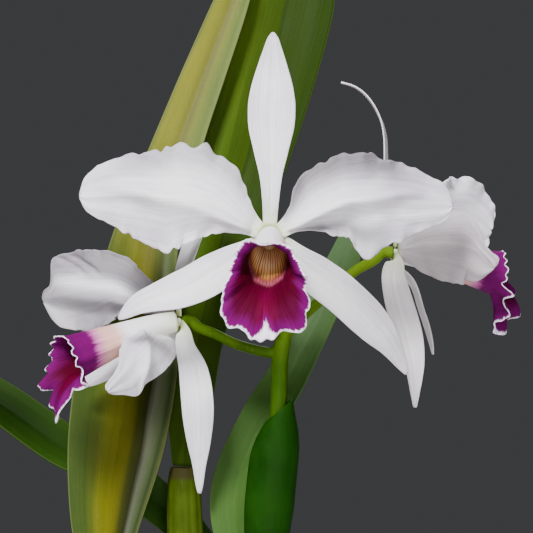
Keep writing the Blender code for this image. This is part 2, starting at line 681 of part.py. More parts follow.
def root_routes():
    """Points of each root: out of the rhizome, over the bark and straight down into it."""
    draw = random.Random(5)
    starts = [GROWTHS[name]["foot"] for name in ("flowering", "left", "rear", "tall")]
    routes = []
    for index in range(ROOT_COUNT):
        x, y = starts[index % len(starts)]
        away = Vector((x, y, 0.0)).normalized()
        turn = math.radians((38.0 if index < len(starts) else -42.0) + draw.uniform(-8.0, 8.0))
        away = Vector((away.x * math.cos(turn) - away.y * math.sin(turn),
                       away.x * math.sin(turn) + away.y * math.cos(turn), 0.0))
        start = Vector((x, y, RHIZOME_LEVEL))
        reach = ROOT_REACH * draw.uniform(0.8, 1.0)
        hole = start + away * reach
        limit = pot_radius(BARK_TOP) - POT_WALL - 2 * ROOT_HOLE_RADIUS
        flat = Vector((hole.x, hole.y))
        if flat.length > limit:
            flat *= limit / flat.length
        hole = Vector((flat.x, flat.y, 0.0))
        middle = start.lerp(hole, 0.5)
        routes.append([
            start, Vector((middle.x, middle.y, RHIZOME_LEVEL + 2.5)),
            Vector((hole.x, hole.y, RHIZOME_LEVEL - 3.0)), Vector((hole.x, hole.y, ROOT_DEPTH + 12.0)),
            Vector((hole.x, hole.y, ROOT_DEPTH + 1.0)),
        ])
    return routes


def make_bark(routes):
    wall = POT_WALL + TOUCH
    profile = [
        (0.0, BARK_TOP), (0.0, POT_FLOOR + TOUCH), (POT_FOOT_RADIUS - wall, POT_FLOOR + TOUCH),
        (pot_radius(BARK_TOP) - wall - 0.6, BARK_TOP),
    ]
    bark = turned("bark", profile, POT_SIDES, "bark_brown")
    draw = random.Random(21)
    combine(bark, [bark_chip(index, draw) for index in range(BARK_CHIPS)], "UNION", "MANIFOLD")
    holes = []
    for index, route in enumerate(routes):
        foot = route[-1]
        holes.append(
            cylinder(f"hole_{index}", foot.x, foot.y, ROOT_DEPTH, RHIZOME_LEVEL + CUT_EXTRA,
                     ROOT_HOLE_RADIUS, 10, "bark_brown")
        )
    combine(bark, holes, "DIFFERENCE", "MANIFOLD")
    keep_outer_shell(bark)
    return bark


def make_rhizome(routes):
    """The creeping stem with a collar under each pseudobulb, and its roots, grown as one piece."""
    feet = {name: Vector((*growth["foot"], RHIZOME_LEVEL)) for name, growth in GROWTHS.items()}
    end = (feet["flowering"] - feet["tall"]).normalized() * RHIZOME_END
    route = [feet["rear"] + Vector((3.0, 8.0, 0.0)), feet["rear"], feet["tall"], feet["flowering"],
             feet["flowering"] + end]
    path = smooth_path(route, RHIZOME_STEPS)
    radii = [RHIZOME_RADIUS * (0.93 + 0.07 * (i % 2)) for i in range(len(path))]
    radii[0] = radii[-1] = RHIZOME_RADIUS * 0.6
    stem = tube("rhizome", path, radii, 8, "root_grey", up=(0.0, 0.0, 1.0))
    pieces = []
    branch = smooth_path([feet["tall"], feet["left"], feet["left"] + Vector((-8.0, -3.0, 0.0))],
                         BRANCH_STEPS)
    branch_radii = [RHIZOME_RADIUS * 0.95] * BRANCH_STEPS + [RHIZOME_RADIUS * 0.6]
    pieces.append(tube("branch", branch, branch_radii, 8, "root_grey", up=(0.0, 0.0, 1.0)))
    for name, foot in feet.items():
        pieces.append(
            cylinder(f"collar_{name}", foot.x, foot.y, RHIZOME_LEVEL - 1.0, COLLAR_TOP, COLLAR_RADIUS, 10,
                     "root_grey")
        )
    for index, points in enumerate(routes):
        path = smooth_path(points, ROOT_STEPS)
        radii = [ROOT_RADIUS] * (len(path) - 1) + [ROOT_RADIUS * 0.7]
        pieces.append(tube(f"root_{index}", path, radii, 6, "root_grey", up=(0.0, 0.0, 1.0)))
    combine(stem, pieces, "UNION", "MANIFOLD")
    keep_outer_shell(stem)
    return stem


def make_pseudobulb(name, growth):
    """A club-shaped, lightly grooved stem, slim at its foot and flat on top for the leaf to stand on."""
    foot = Vector((*growth["foot"], COLLAR_TOP + TOUCH))
    top = Vector(growth["top"]) - Vector((0.0, 0.0, BULB_TO_LEAF))
    middle = foot.lerp(top, 0.5) + Vector((BULB_BOW, 0.0, 0.0))
    run = Vector((0.0, 0.0, BULB_END_RUN))
    path = smooth_path([foot, foot + run, middle, top - run, top], BULB_STEPS)
    fat, tip = growth["radius"], growth["tip"]
    shape = [
        (0.0, BULB_FOOT_RADIUS), (0.1, BULB_FOOT_RADIUS * 0.9), (0.3, fat * 0.62), (0.6, fat * 0.94), (0.75, fat), (0.9, fat * 0.95),
        (0.97, max(fat * 0.86, tip)), (1.0, tip),
    ]
    radii = [ramp(shape, i / BULB_STEPS)[0] for i in range(BULB_STEPS + 1)]
    return tube(f"pseudobulb_{name}", path, radii, BULB_SIDES, "bulb_green", flat=BULB_FLATNESS,
                groove=BULB_GROOVE_DEPTH, grooves=BULB_GROOVES)


def blade_grid(path, widths, faces, steps, columns, cup=0.0, fold=0.0, ruffle=0.0, waves=0.0):
    """Points of a leaf, sepal or petal: rows along its midrib, columns from its left margin to its right.

    faces is a list of (share of length, direction that its upper side looks). cup curls the sides up in a
    bow, fold lifts them in a V, and ruffle waves the margins.
    """
    grid = []
    for i, (centre, along) in enumerate(zip(path, tangents(path))):
        t = i / steps
        face = Vector(ramp([(at, *direction) for at, direction in faces], t))
        side = along.cross(face).normalized()
        up = side.cross(along)
        left, right = ramp(widths, t)
        row = []
        for j in range(columns + 1):
            a = 2 * j / columns - 1
            width = right if a > 0 else left
            lift = width * (cup * a * a + fold * abs(a))
            swell = math.sin(math.pi * min(1.0, t * 1.15)) ** 0.5 if 0 < t < 0.87 else 0.4
            lift += ruffle * swell * abs(a) ** 3 * math.sin(math.tau * waves * t + 1.7 * a)
            narrow = 1.0 - 0.35 * (abs(cup) + abs(fold)) * abs(a)
            row.append(centre + side * a * width * narrow + up * lift)
        grid.append(row)
    return grid


def make_leaf(name, leaf):
    path = smooth_path(leaf["spine"], LEAF_STEPS)
    grid = blade_grid(path, leaf["widths"], leaf["face"], LEAF_STEPS, LEAF_COLUMNS, fold=leaf["fold"])
    middle = LEAF_COLUMNS / 2

    def thickness(i, j):
        margin = abs(j - middle) / middle
        return LEAF_THICKNESS * (1.0 - 0.45 * margin) + (1.5 if i < 2 else 0.0) * (1.0 - margin)

    return sheet_solid(name, grid, thickness, "leaf_green")


def make_segment(name, bloom, segment, layer, steps, columns, thickness):
    """A sepal or petal. Its claw lies flat in its layer round the bloom's axis, then it follows its spine."""
    axis = Vector(bloom["axis"]).normalized()
    up = (Vector((0.0, 0.0, 1.0)) - axis * axis.z).normalized()
    side = up.cross(axis)
    angle = math.radians(segment["angle"])
    away = side * math.cos(angle) + up * math.sin(angle)
    centre = Vector(bloom["centre"])
    foot = centre + axis * layer + away * BASE_RADIUS
    spine = [foot, foot + away * BASE_RUN] + [centre + Vector(point) for point in segment["spine"]]
    path = smooth_path(spine, steps)
    faces = [(0.0, axis), (0.07, axis), (0.3, Vector(segment["face"]).normalized())]
    grid = blade_grid(
        path, segment["widths"], faces, steps, columns, cup=segment.get("cup", 0.0),
        fold=segment.get("fold", 0.0), ruffle=segment.get("ruffle", 0.0), waves=segment.get("waves", 0.0),
    )
    flat_rows = 2
    for i in range(flat_rows):
        for point in grid[i]:
            point -= axis * (point - centre - axis * layer).dot(axis)
    return sheet_solid(name, grid, lambda i, j: thickness, "petal_white")


def lip_frames(bloom, stations):
    """Centre and directions of the lip's tube at each distance, from the bloom's axis to the lip's own."""
    axis, lip_axis = Vector(bloom["axis"]).normalized(), Vector(bloom["lip_axis"]).normalized()
    centre = Vector(bloom["centre"]) + axis * LIP_LAYER
    frames = []
    before = 0.0
    for station in stations:
        share = min(station / LIP_BEND_LENGTH, 1.0)
        along = axis.lerp(lip_axis, share * share * (3 - 2 * share)).normalized()
        centre = centre + along * (station - before)
        before = station
        up = (Vector((0.0, 0.0, 1.0)) - along * along.z).normalized()
        frames.append((centre, along, up, up.cross(along)))
    return frames


def make_lip(name, bloom):
    """The lip: side lobes rolled into a tube over the column, and a flared front lobe with a waved margin."""
    length = bloom["lip_length"]
    stations = [length * i / LIP_TUBE_STEPS for i in range(LIP_TUBE_STEPS + 1)]
    frames = lip_frames(bloom, stations)
    open_to = 180.0 - LIP_SLIT_DEGREES
    angles = [open_to * (2 * j / LIP_COLUMNS - 1) for j in range(LIP_COLUMNS + 1)]
    grid = []
    for station, (centre, _, up, side) in zip(stations, frames):
        drop, half_width, half_height = ramp(LIP_SECTIONS, station / length)
        grid.append([
            centre + up * (drop - half_height * math.cos(math.radians(angle)))
            + side * half_width * math.sin(math.radians(angle))
            for angle in angles
        ])
    along, up, side = frames[-1][1:]
    mouth = grid[-1]
    for step in range(1, LIP_FLARE_STEPS + 1):
        turn = step / LIP_FLARE_STEPS * math.pi / 2
        row = []
        for angle, start in zip(angles, mouth):
            outward, forward = ramp(LIP_FLARE, abs(angle))
            away = side * math.sin(math.radians(angle)) - up * math.cos(math.radians(angle))
            wave = math.sin(LIP_WAVES * math.radians(angle) * 2 + 0.6) * (step / LIP_FLARE_STEPS) ** 2
            size = LIP_RUFFLE * min(1.0, outward / 8.0 + 0.25)
            row.append(
                start + along * (forward * math.sin(turn) + size * wave)
                + away * (outward * (1 - math.cos(turn)) + 0.4 * size * wave)
            )
        grid.append(row)
    return sheet_solid(name, grid, lambda i, j: LIP_THICKNESS, "lip_magenta")


def make_column(name, bloom):
    axis = Vector(bloom["axis"]).normalized()
    lengths = [COLUMN_LENGTH * i / COLUMN_STEPS for i in range(COLUMN_STEPS + 1)]
    frames = lip_frames(bloom, lengths)
    start = Vector(bloom["centre"]) + axis * COLUMN_START
    path = [start] + [frame[0] - frame[2] * COLUMN_DROP for frame in frames[1:]]
    radii = [ramp(COLUMN_RADII, i / COLUMN_STEPS)[0] for i in range(COLUMN_STEPS + 1)]
    return tube(name, path, radii, COLUMN_SIDES, "petal_white", up=frames[0][2])


def make_bloom(name, bloom):
    for key, segment in bloom.items():
        if key.endswith("_sepal"):
            make_segment(f"{name}_{key}", bloom, segment, SEPAL_LAYER, SEPAL_STEPS, SEPAL_COLUMNS,
                         SEPAL_THICKNESS)
        elif key.endswith("_petal"):
            make_segment(f"{name}_{key}", bloom, segment, PETAL_LAYER, PETAL_STEPS, PETAL_COLUMNS,
                         PETAL_THICKNESS)
    make_lip(f"{name}_lip", bloom)
    make_column(f"{name}_column", bloom)


def make_stalk():
    """The stalk with its three pedicels, each swelling into the ovary that carries its bloom."""
    path = smooth_path(STALK_ROUTE, STALK_STEPS)
    radii = [PEDUNCLE_RADIUS] * STALK_STEPS + [PEDUNCLE_RADIUS * 0.7]
    stalk = tube("flower_stalk", path, radii, STALK_SIDES, "stalk_green")
    branches = []
    for place, route in PEDICEL_ROUTES.items():
        bloom = BLOOMS[f"{place}_bloom"]
        centre, axis = Vector(bloom["centre"]), Vector(bloom["axis"]).normalized()
        points = [Vector(point) for point in route]
        points += [centre + axis * (OVARY_END - OVARY_LENGTH), centre + axis * OVARY_END]
        path = smooth_path(points, PEDICEL_STEPS)
        shape = [(0.0, PEDICEL_RADIUS * 1.1), (0.6, PEDICEL_RADIUS), (0.9, OVARY_RADIUS * 0.9), (1.0, OVARY_RADIUS)]
        radii = [ramp(shape, i / PEDICEL_STEPS)[0] for i in range(PEDICEL_STEPS + 1)]
        branches.append(tube(f"pedicel_{place}", path, radii, STALK_SIDES, "stalk_green"))
    combine(stalk, branches, "UNION", "MANIFOLD")
    keep_outer_shell(stalk)
    return stalk


def make_spathe():
    """The flat sheath round the stalk's foot, open at its slanted mouth."""
    grid = []
    last = len(SPATHE_RINGS) - 1
    for i, (centre, half_width, half_depth) in enumerate(SPATHE_RINGS):
        row = []
        for j in range(SPATHE_COLUMNS):
            angle = math.tau * j / SPATHE_COLUMNS
            slant = SPATHE_MOUTH_SLANT * math.cos(angle) * (i / last) ** 4
            row.append(Vector(centre) + Vector((half_width * math.cos(angle), half_depth * math.sin(angle), slant)))
        grid.append(row)
    grid = [row[::-1] for row in grid]
    return sheet_solid("spathe", grid, lambda i, j: SPATHE_WALL, "stalk_green", wrap=True)


def main():
    clear_scene()
    make_pot()
    routes = root_routes()
    make_bark(routes)
    make_rhizome(routes)
    for name, growth in GROWTHS.items():
        make_pseudobulb(name, growth)
    for name, leaf in LEAVES.items():
        make_leaf(name, leaf)
    make_spathe()
    make_stalk()
    for name, bloom in BLOOMS.items():
        make_bloom(name, bloom)


main()
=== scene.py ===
import math
import random
import re

import bpy
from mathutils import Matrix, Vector, noise


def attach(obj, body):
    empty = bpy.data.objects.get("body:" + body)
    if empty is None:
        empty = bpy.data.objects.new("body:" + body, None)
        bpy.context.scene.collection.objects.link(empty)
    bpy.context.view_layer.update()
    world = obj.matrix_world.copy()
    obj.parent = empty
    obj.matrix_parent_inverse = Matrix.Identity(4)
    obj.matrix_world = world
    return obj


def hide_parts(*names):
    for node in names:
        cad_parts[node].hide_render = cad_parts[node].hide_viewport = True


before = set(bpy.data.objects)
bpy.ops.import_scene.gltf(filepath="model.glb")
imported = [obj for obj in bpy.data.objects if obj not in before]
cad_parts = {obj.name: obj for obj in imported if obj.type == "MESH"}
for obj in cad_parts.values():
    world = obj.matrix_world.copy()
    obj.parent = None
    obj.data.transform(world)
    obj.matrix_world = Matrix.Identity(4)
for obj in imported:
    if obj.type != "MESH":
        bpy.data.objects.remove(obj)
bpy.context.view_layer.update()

bpy.ops.object.select_all(action="DESELECT")
mm = 0.001
draw = random.Random(8)

# camera, lights and floor

studio = {
    "camera": (0.0303, -1, 0.4205), "lens": 140.74,
    "key": {"at": (-0.45, -1.25, 1.4), "size": 0.4, "watts": 66, "tint": (0.98, 0.98, 1)},
    "fill": {"at": (0.25, -1.55, 0.5), "size": 0.8, "watts": 15, "tint": (0.94, 0.97, 1)},
    "back": {"at": (0.45, 1.15, 1.25), "size": 0.9, "watts": 9, "tint": (1, 1, 1)}, "aim": (0.02, 0, 0.4),
    "room": (0.05, 0.051, 0.053), "floor": (0.6, 0.59, 0.57), "floorWidth": 4.3,
}

bpy.ops.object.camera_add(location=studio["camera"], rotation=(math.radians(90), 0, 0))
camera = bpy.context.object
camera.name = "photoCamera"
camera.data.sensor_width = 36
camera.data.lens = studio["lens"]
bpy.context.scene.camera = camera
for lampName in ("key", "fill", "back"):
    lamp = studio[lampName]
    bpy.ops.object.light_add(type="AREA", location=lamp["at"])
    light = bpy.context.object
    light.name = lampName + "Light"
    light.data.size = lamp["size"]
    light.data.energy = lamp["watts"]
    light.data.color = lamp["tint"]
    light.rotation_euler = (Vector(studio["aim"]) - Vector(lamp["at"])).to_track_quat("-Z", "Y").to_euler()
room = bpy.data.worlds.new("studioRoom")
room.use_nodes = True
room.node_tree.nodes["Background"].inputs["Color"].default_value = (*studio["room"], 1)
bpy.context.scene.world = room
print("camera and lights ready")


# tools that every piece uses

def smoothRail(points, steps=240):  # evenly spaced points on a smooth line through the given ones
    knots = [Vector(p) for p in points]
    knots = [2 * knots[0] - knots[1], *knots, 2 * knots[-1] - knots[-2]]
    fine = []
    for a, b, c, d in zip(knots, knots[1:], knots[2:], knots[3:]):
        for step in range(32):
            s = step / 32
            fine.append(0.5 * (2 * b + (c - a) * s + (2 * a - 5 * b + 4 * c - d) * s * s
                               + (3 * b - a - 3 * c + d) * s ** 3))
    fine.append(knots[-2])
    far = [0]
    for a, b in zip(fine, fine[1:]):
        far.append(far[-1] + (b - a).length)
    rail, at = [], 0
    for step in range(steps + 1):
        wanted = far[-1] * step / steps
        while at < len(fine) - 2 and far[at + 1] < wanted:
            at += 1
        rail.append(fine[at].lerp(fine[at + 1], (wanted - far[at]) / (far[at + 1] - far[at])))
    return rail


def onRail(rail, t):
    at = min(max(t, 0), 1) * (len(rail) - 1)
    low = min(int(at), len(rail) - 2)
    return rail[low].lerp(rail[low + 1], at - low)


def heading(rail, t):
    return (onRail(rail, t + 0.03) - onRail(rail, t - 0.03)).normalized()


def easeStops(stops, t):  # smooth values between stops of (t, value, ...), with no overshoot
    if t <= stops[0][0]:
        return stops[0][1:]
    for k in range(len(stops) - 1):
        if t <= stops[k + 1][0]:
            break
    else:
        return stops[-1][1:]
    width = stops[k + 1][0] - stops[k][0]
    s = (t - stops[k][0]) / width
    found = []
    for v in range(1, len(stops[0])):
        slopes = []
        for m in (k, k + 1):
            if m == 0 or m == len(stops) - 1:
                n = min(m, len(stops) - 2)
                slopes.append((stops[n + 1][v] - stops[n][v]) / (stops[n + 1][0] - stops[n][0]))
                continue
            before = (stops[m][v] - stops[m - 1][v]) / (stops[m][0] - stops[m - 1][0])
            after = (stops[m + 1][v] - stops[m][v]) / (stops[m + 1][0] - stops[m][0])
            slopes.append(2 * before * after / (before + after) if before * after > 0 else 0)
        low, high = stops[k][v], stops[k + 1][v]
        found.append((2 * s ** 3 - 3 * s * s + 1) * low + (s ** 3 - 2 * s * s + s) * width * slopes[0]
                     + (3 * s * s - 2 * s ** 3) * high + (s ** 3 - s * s) * width * slopes[1])
    return tuple(found)


def smoothStep(low, high, value):
    s = min(max((value - low) / (high - low), 0), 1)
    return s * s * (3 - 2 * s)


def alone(piece):  # selects one piece and nothing else
    bpy.ops.object.select_all(action="DESELECT")
    piece.select_set(True)
    bpy.context.view_layer.objects.active = piece


def newPiece(name, add, **how):
    bpy.ops.object.select_all(action="DESELECT")
    add(**how)
    piece = bpy.context.object
    piece.name = piece.data.name = name
    return piece


def newGrid(name, columns, rows):  # a flat sheet, -1 to 1 each way
    grid = bpy.ops.mesh.primitive_grid_add
    return newPiece(name, grid, x_subdivisions=columns, y_subdivisions=rows, size=2)


def openMesh(selected="SELECT"):
    bpy.ops.object.mode_set(mode="EDIT")
    bpy.ops.mesh.select_all(action=selected)


def numberEach(piece, name, values):  # a number at each corner, for the finish to read
    layer = piece.data.attributes.new(name, "FLOAT", "POINT")
    layer.data.foreach_set("value", values)


def thicken(piece, thickness, thin):  # thin is the margin's share of the thickness
    bodyGroup = piece.vertex_groups.new(name="body")
    margin = [each.value for each in piece.data.attributes["margin"].data]
    for index, near in enumerate(margin):
        bodyGroup.add([index], 1 - smoothStep(0.55, 1, near), "REPLACE")
    finer = piece.modifiers.new("finer", "SUBSURF")
    finer.levels = finer.render_levels = 1
    wall = piece.modifiers.new("wall", "SOLIDIFY")
    wall.thickness = thickness * mm
    wall.offset = 0
    wall.vertex_group = "body"
    wall.thickness_vertex_group = thin
    wall.material_offset = 1
    wall.material_offset_rim = 0


def finishPiece(piece, node, finishes, sharp=None):
    alone(piece)
    piece.data.materials.clear()
    for finish in finishes:
        piece.data.materials.append(finish)
    for step in list(piece.modifiers):
        bpy.ops.object.modifier_apply(modifier=step.name)
    if sharp is None:
        bpy.ops.object.shade_smooth()
    else:
        bpy.ops.object.shade_smooth_by_angle(angle=math.radians(sharp))
    piece.vertex_groups.clear()
    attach(piece, "root")
    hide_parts(node)
    piece.select_set(False)


# tools that every finish uses; bench holds the material at hand

bench = {}


class Signal:  # one output of a node, so that a sum of outputs reads as a sum
    def __init__(self, socket):
        self.socket = socket

    def __add__(self, other):
        return maths("ADD", self, other)

    def __sub__(self, other):
        return maths("SUBTRACT", self, other)

    def __mul__(self, other):
        return maths("MULTIPLY", self, other)

    def __truediv__(self, other):
        return maths("DIVIDE", self, other)

    def __abs__(self):
        return maths("ABSOLUTE", self)


def newFinish(name, roughness, **sockets):
    finish = bpy.data.materials.new(name)
    finish.use_nodes = True
    shader = finish.node_tree.nodes["Principled BSDF"]
    shader.inputs["Roughness"].default_value = roughness
    for socketName, value in sockets.items():
        shader.inputs[socketName.replace("_", " ")].default_value = value
    bench.update(tree=finish.node_tree, shader=shader)
    return finish


def newNode(kind):
    return bench["tree"].nodes.new("ShaderNode" + kind)


def wire(value, socket):
    if isinstance(value, Signal):
        bench["tree"].links.new(value.socket, socket)
    elif isinstance(value, tuple) and len(value) == 3 and socket.type == "RGBA":
        socket.default_value = (*value, 1)
    else:
        socket.default_value = value


def maths(operation, *values):
    made = newNode("Math")
    made.operation = operation
    for socket, value in zip(made.inputs, values):
        wire(value, socket)
    return Signal(made.outputs[0])


def bell(value, narrow):  # 1 where the value is 0, and less on both sides of it
    return maths("EXPONENT", maths("POWER", value, 2) * -narrow)


def between(value, low, high, first=0, last=1):  # eased share of value between low and high
    made = newNode("MapRange")
    made.interpolation_type = "SMOOTHSTEP"
    for socketName, number in zip(("Value", "From Min", "From Max", "To Min", "To Max"),
                                  (value, low, high, first, last)):
        wire(number, made.inputs[socketName])
    return Signal(made.outputs["Result"])


def colours(value, stops):
    made = newNode("ValToRGB")
    marks = made.color_ramp.elements
    while len(marks) < len(stops):
        marks.new(0.5)
    for mark, (place, colour) in zip(marks, stops):
        mark.position = place
        mark.color = (*colour, 1)
    wire(value, made.inputs["Fac"])
    return Signal(made.outputs["Color"])


def blend(share, first, second, kind="MIX"):
    made = newNode("Mix")
    made.data_type = "RGBA"
    made.blend_type = kind
    wire(share, made.inputs[0])
    wire(first, made.inputs[6])
    wire(second, made.inputs[7])
    return Signal(made.outputs[2])


def tint(share, base, colour):  # multiplies the base by a colour, in part
    return blend(share, base, blend(1, base, colour, "MULTIPLY"))


def onPiece(*scale):  # object coordinates, scaled alike or each way
    turn = newNode("Mapping")
    turn.inputs["Scale"].default_value = scale if len(scale) == 3 else scale * 3
    wire(Signal(newNode("TexCoord").outputs["Object"]), turn.inputs["Vector"])
    return Signal(turn.outputs["Vector"])


def partsOf(vector):
    made = newNode("SeparateXYZ")
    wire(vector, made.inputs[0])
    return [Signal(part) for part in made.outputs]


def uvParts():  # across and along
    return partsOf(Signal(newNode("TexCoord").outputs["UV"]))[:2]


def readEach(name):
    made = newNode("Attribute")
    made.attribute_name = name
    return Signal(made.outputs["Fac"])


def speckle(vector, detail, rough=0.55):
    made = newNode("TexNoise")
    wire(vector, made.inputs["Vector"])
    made.inputs["Scale"].default_value = 1
    made.inputs["Detail"].default_value = detail
    made.inputs["Roughness"].default_value = rough
    return Signal(made.outputs["Fac"])


def packed(x, y, z=0):
    made = newNode("CombineXYZ")
    for socket, value in zip(made.inputs, (x, y, z)):
        wire(value, socket)
    return Signal(made.outputs[0])


def paint(base, roughness=None):
    wire(base, bench["shader"].inputs["Base Color"])
    if roughness:
        wire(roughness, bench["shader"].inputs["Roughness"])


def relief(height, strength, depth):  # depth in mm
    made = newNode("Bump")
    made.inputs["Strength"].default_value = strength
    made.inputs["Distance"].default_value = depth * mm
    wire(height, made.inputs["Height"])
    wire(Signal(made.outputs["Normal"]), bench["shader"].inputs["Normal"])


# finish of petals and sepals: white, faintly veined, greenish at the claw

petalLook = {
    "bright": (0.95, 0.925, 0.95), "shade": (0.66, 0.6, 0.69), "claw": (0.7, 0.76, 0.42),
    "clawFoot": (0.34, 0.46, 0.1), "rib": (0.9, 0.89, 0.84), "blush": (0.8, 0.68, 0.8),
    "dull": (0.62, 0.59, 0.64), "dulling": 0.6, "ribWidth": 0.035, "clawReach": 0.12, "roughness": 0.52,
    "glow": (1, 0.75, 0.8),
}


def petalFinish(name, look):
    finish = newFinish(name, look["roughness"], Subsurface_Weight=0.3, Subsurface_Scale=0.003,
                       Specular_IOR_Level=0.25)
    bench["shader"].inputs["Subsurface Radius"].default_value = look["glow"]
    across, along = uvParts()
    fromRib = abs(across - 0.5)
    spread = across + (across - 0.5) * (along * -0.6)
    clouds, grain = speckle(onPiece(38), 3), speckle(onPiece(1400), 2)
    veins = speckle(packed(spread * 34, along * 1.6), 3)
    thin = speckle(packed(spread * 110, along * 3, 5), 2)
    veins = veins * 0.6 + thin * 0.4
    base = colours(veins * 0.5 + clouds * 0.5, [(0.36, look["shade"]), (0.58, look["bright"])])
    # greyer towards the tip and the margins: partly the petals' own lilac-grey, partly painted shade
    dull = between(along, 0.35, 0.7, 0, 0.6) + between(fromRib, 0.12, 0.42, 0, 0.4)
    base = tint(dull * look["dulling"], base, look["dull"])
    nearRib = between(fromRib, 0, look["ribWidth"], 0.55, 0) * between(along, 0.55, 1, 1, 0.2)
    base = blend(nearRib, base, look["rib"])
    base = blend(between(along, 0, look["clawReach"], 0.75, 0), base, look["claw"])
    base = blend(between(along, 0.02, 0.045, 0.8, 0), base, look["clawFoot"])
    base = blend(between(fromRib, 0.38, 0.5, 0, 0.35) * clouds, base, look["blush"])
    # the tone darkens the colour with painted shade; where it is higher in lines, those are painted
    # highlights
    base = blend(1, base, colours(readEach("tone"), [(0, (0, 0, 0)), (1, (1, 1, 1))]), "MULTIPLY")
    paint(base, between(veins, 0.3, 0.7, look["roughness"] - 0.07, look["roughness"] + 0.08))
    relief(veins * 1.6 + grain * 0.1, 0.5, 0.8)
    return finish


whitePetal = petalFinish("whitePetal", petalLook)
# the backs are greyer and pinker than the fronts: painted shade on the side turned from the light
petalBackPaintedShade = petalFinish("petalBackPaintedShade", {**petalLook, "bright": (0.76, 0.7, 0.73), "shade": (0.54, 0.48, 0.52),
                                      "dulling": 0.3, "ribWidth": 0.05, "clawReach": 0.14})
sepalLook = {**petalLook, "ribWidth": 0.09, "clawReach": 0.2}
whiteSepal = petalFinish("whiteSepal", {**sepalLook, "shade": (0.7, 0.66, 0.72)})
sepalBackPaintedShade = petalFinish("sepalBackPaintedShade", {**sepalLook, "bright": (0.94, 0.88, 0.9), "shade": (0.66, 0.6, 0.64),
                                      "dulling": 0.3})

# finish of the lip: ochre throat with brown veins, crimson, then purple with a white edge

lipLook = {
    # the deepest throat colour is paler and brighter than the throat's own ochre: painted light deep in the
    # tube, where shade falls
    "throatDeepPaintedLight": (1, 0.7, 0.32), "throat": (0.72, 0.4, 0.09), "throatLow": (0.17, 0.052, 0.017),
    "throatEnd": (0.2, 0.055, 0.08), "vein": (0.17, 0.016, 0.024), "crimson": (0.05, 0, 0.008),
    "centre": (0.1, 0, 0.022), "wine": (0.044, 0, 0.007), "purple": (0.056, 0, 0.021),
    "brightPurple": (0.11, 0, 0.084), "edge": (0.88, 0.75, 0.9), "outsideBase": (0.86, 0.84, 0.66),
    "outside": (0.93, 0.88, 0.89), "peach": (0.74, 0.42, 0.36), "outsidePurple": (0.12, 0, 0.088),
    "roughness": 0.65, "edgeWidth": 0.75, "throatBend": 62, "rose": (0.55, 0.16, 0.38),
    "streaks": (2, 1.4, 2.2),
    "insideStops": [
        (0, "throatDeepPaintedLight"), (0.28, "throatDeepPaintedLight"), (0.37, "throat"), (0.44, "throatLow"), (0.485, "throatEnd"),
        (0.515, "crimson"), (0.6, "crimson"), (0.7, "wine"), (0.84, "purple"), (1, "purple"),
    ],
    "outsideStops": [
        (0, "outsideBase"), (0.2, "outside"), (0.42, "outside"), (0.54, "peach"), (0.64, "peach"),
        (0.71, "rose"), (0.76, "outsidePurple"), (1, "outsidePurple"),
    ],
}


def lipEdge(base, streak, turn, edge, look, wedgeReach):
    # the white margin is wider low and high, and runs up in a wedge
    bloomWedge = readEach("wedge")
    wedge = bell(turn, 950) * bloomWedge
    low = bell(turn, 45) * (bloomWedge * 1.4 - 0.7)
    low = low + between(abs(turn), 0.36, 0.52, 0, 0.15) * bloomWedge
    hair = speckle(packed(turn * 330, edge * 0.12, 9), 2)
    ragged = (hair - 0.5) * (wedge * (2.4 * wedgeReach) + 1.5)
    reach = edge - (wedge * wedgeReach + low) - (streak - 0.5) * 3 - ragged
    # on the side lips the bright purple starts further in: partly their own magenta, partly painted light in
    # their shaded insides
    brightFrom = bloomWedge * -9 + 17
    base = blend(between(reach, brightFrom, 1.5), base, look["brightPurple"])
    return blend(between(reach, look["edgeWidth"] + 0.55, look["edgeWidth"] - 0.45), base, look["edge"])


def lipInsideFinish(look):
    finish = newFinish("lipInside", look["roughness"], Subsurface_Weight=0.15, Subsurface_Scale=0.003,
                       Specular_IOR_Level=0.04)
    turn, run, edge = readEach("turn"), readEach("run"), readEach("edge")
    streak = speckle(packed(turn * 80, run * 0.045), 2.5)
    band = speckle(packed(turn * 24, run * 0.03, 4), 2)
    reach = run + 2 + turn * turn * look["throatBend"] + (streak - 0.5) * 9
    place = (reach + 40) / 80
    base = colours(place, [(at, look[colour]) for at, colour in look["insideStops"]])
    lines = abs(maths("SINE", turn * 66 + band * 3))
    veined = between(lines, 0.66, 0.2) * between(place, 0.52, 0.5)
    base = blend(veined * 0.85, base, look["vein"])
    redder = bell(turn, 160) * between(place, 0.5, 0.55)
    base = blend(redder * 0.6, base, look["centre"])
    base = tint(between(streak, 0.35, 0.7, 0, 0.4), base, look["streaks"])
    paint(lipEdge(base, streak, turn, edge, look, 6.5))
    relief(streak + lines * -0.3, 0.5, 0.5)
    return finish


def lipOutsideFinish(look):
    finish = newFinish("lipOutside", look["roughness"], Subsurface_Weight=0.2, Subsurface_Scale=0.003,
                       Specular_IOR_Level=0.06)
    turn, run, edge = readEach("turn"), readEach("run"), readEach("edge")
    streak = speckle(packed(turn * 70, run * 0.035), 2.5)
    place = (run + (streak - 0.5) * 8 + 50) / 60
    base = colours(place, [(at, look[colour]) for at, colour in look["outsideStops"]])
    threads = speckle(packed(turn * 190, run * 0.05, 2), 2)
    thread = between(threads, 0.5, 0.64, 0, 0.6) * between(place, 0.45, 0.7)
    base = blend(thread, base, look["outsidePurple"])
    overColumn = between(abs(turn), 0.72, 0.84) * between(run, 2, -2) * between(readEach("wedge"), 0.3, 1)
    base = blend(overColumn, base, look["outside"])
    paint(lipEdge(base, streak, turn, edge, look, 1))
    relief(streak, 0.4, 0.5)
    return finish


lipInside, lipOutside = lipInsideFinish(lipLook), lipOutsideFinish(lipLook)

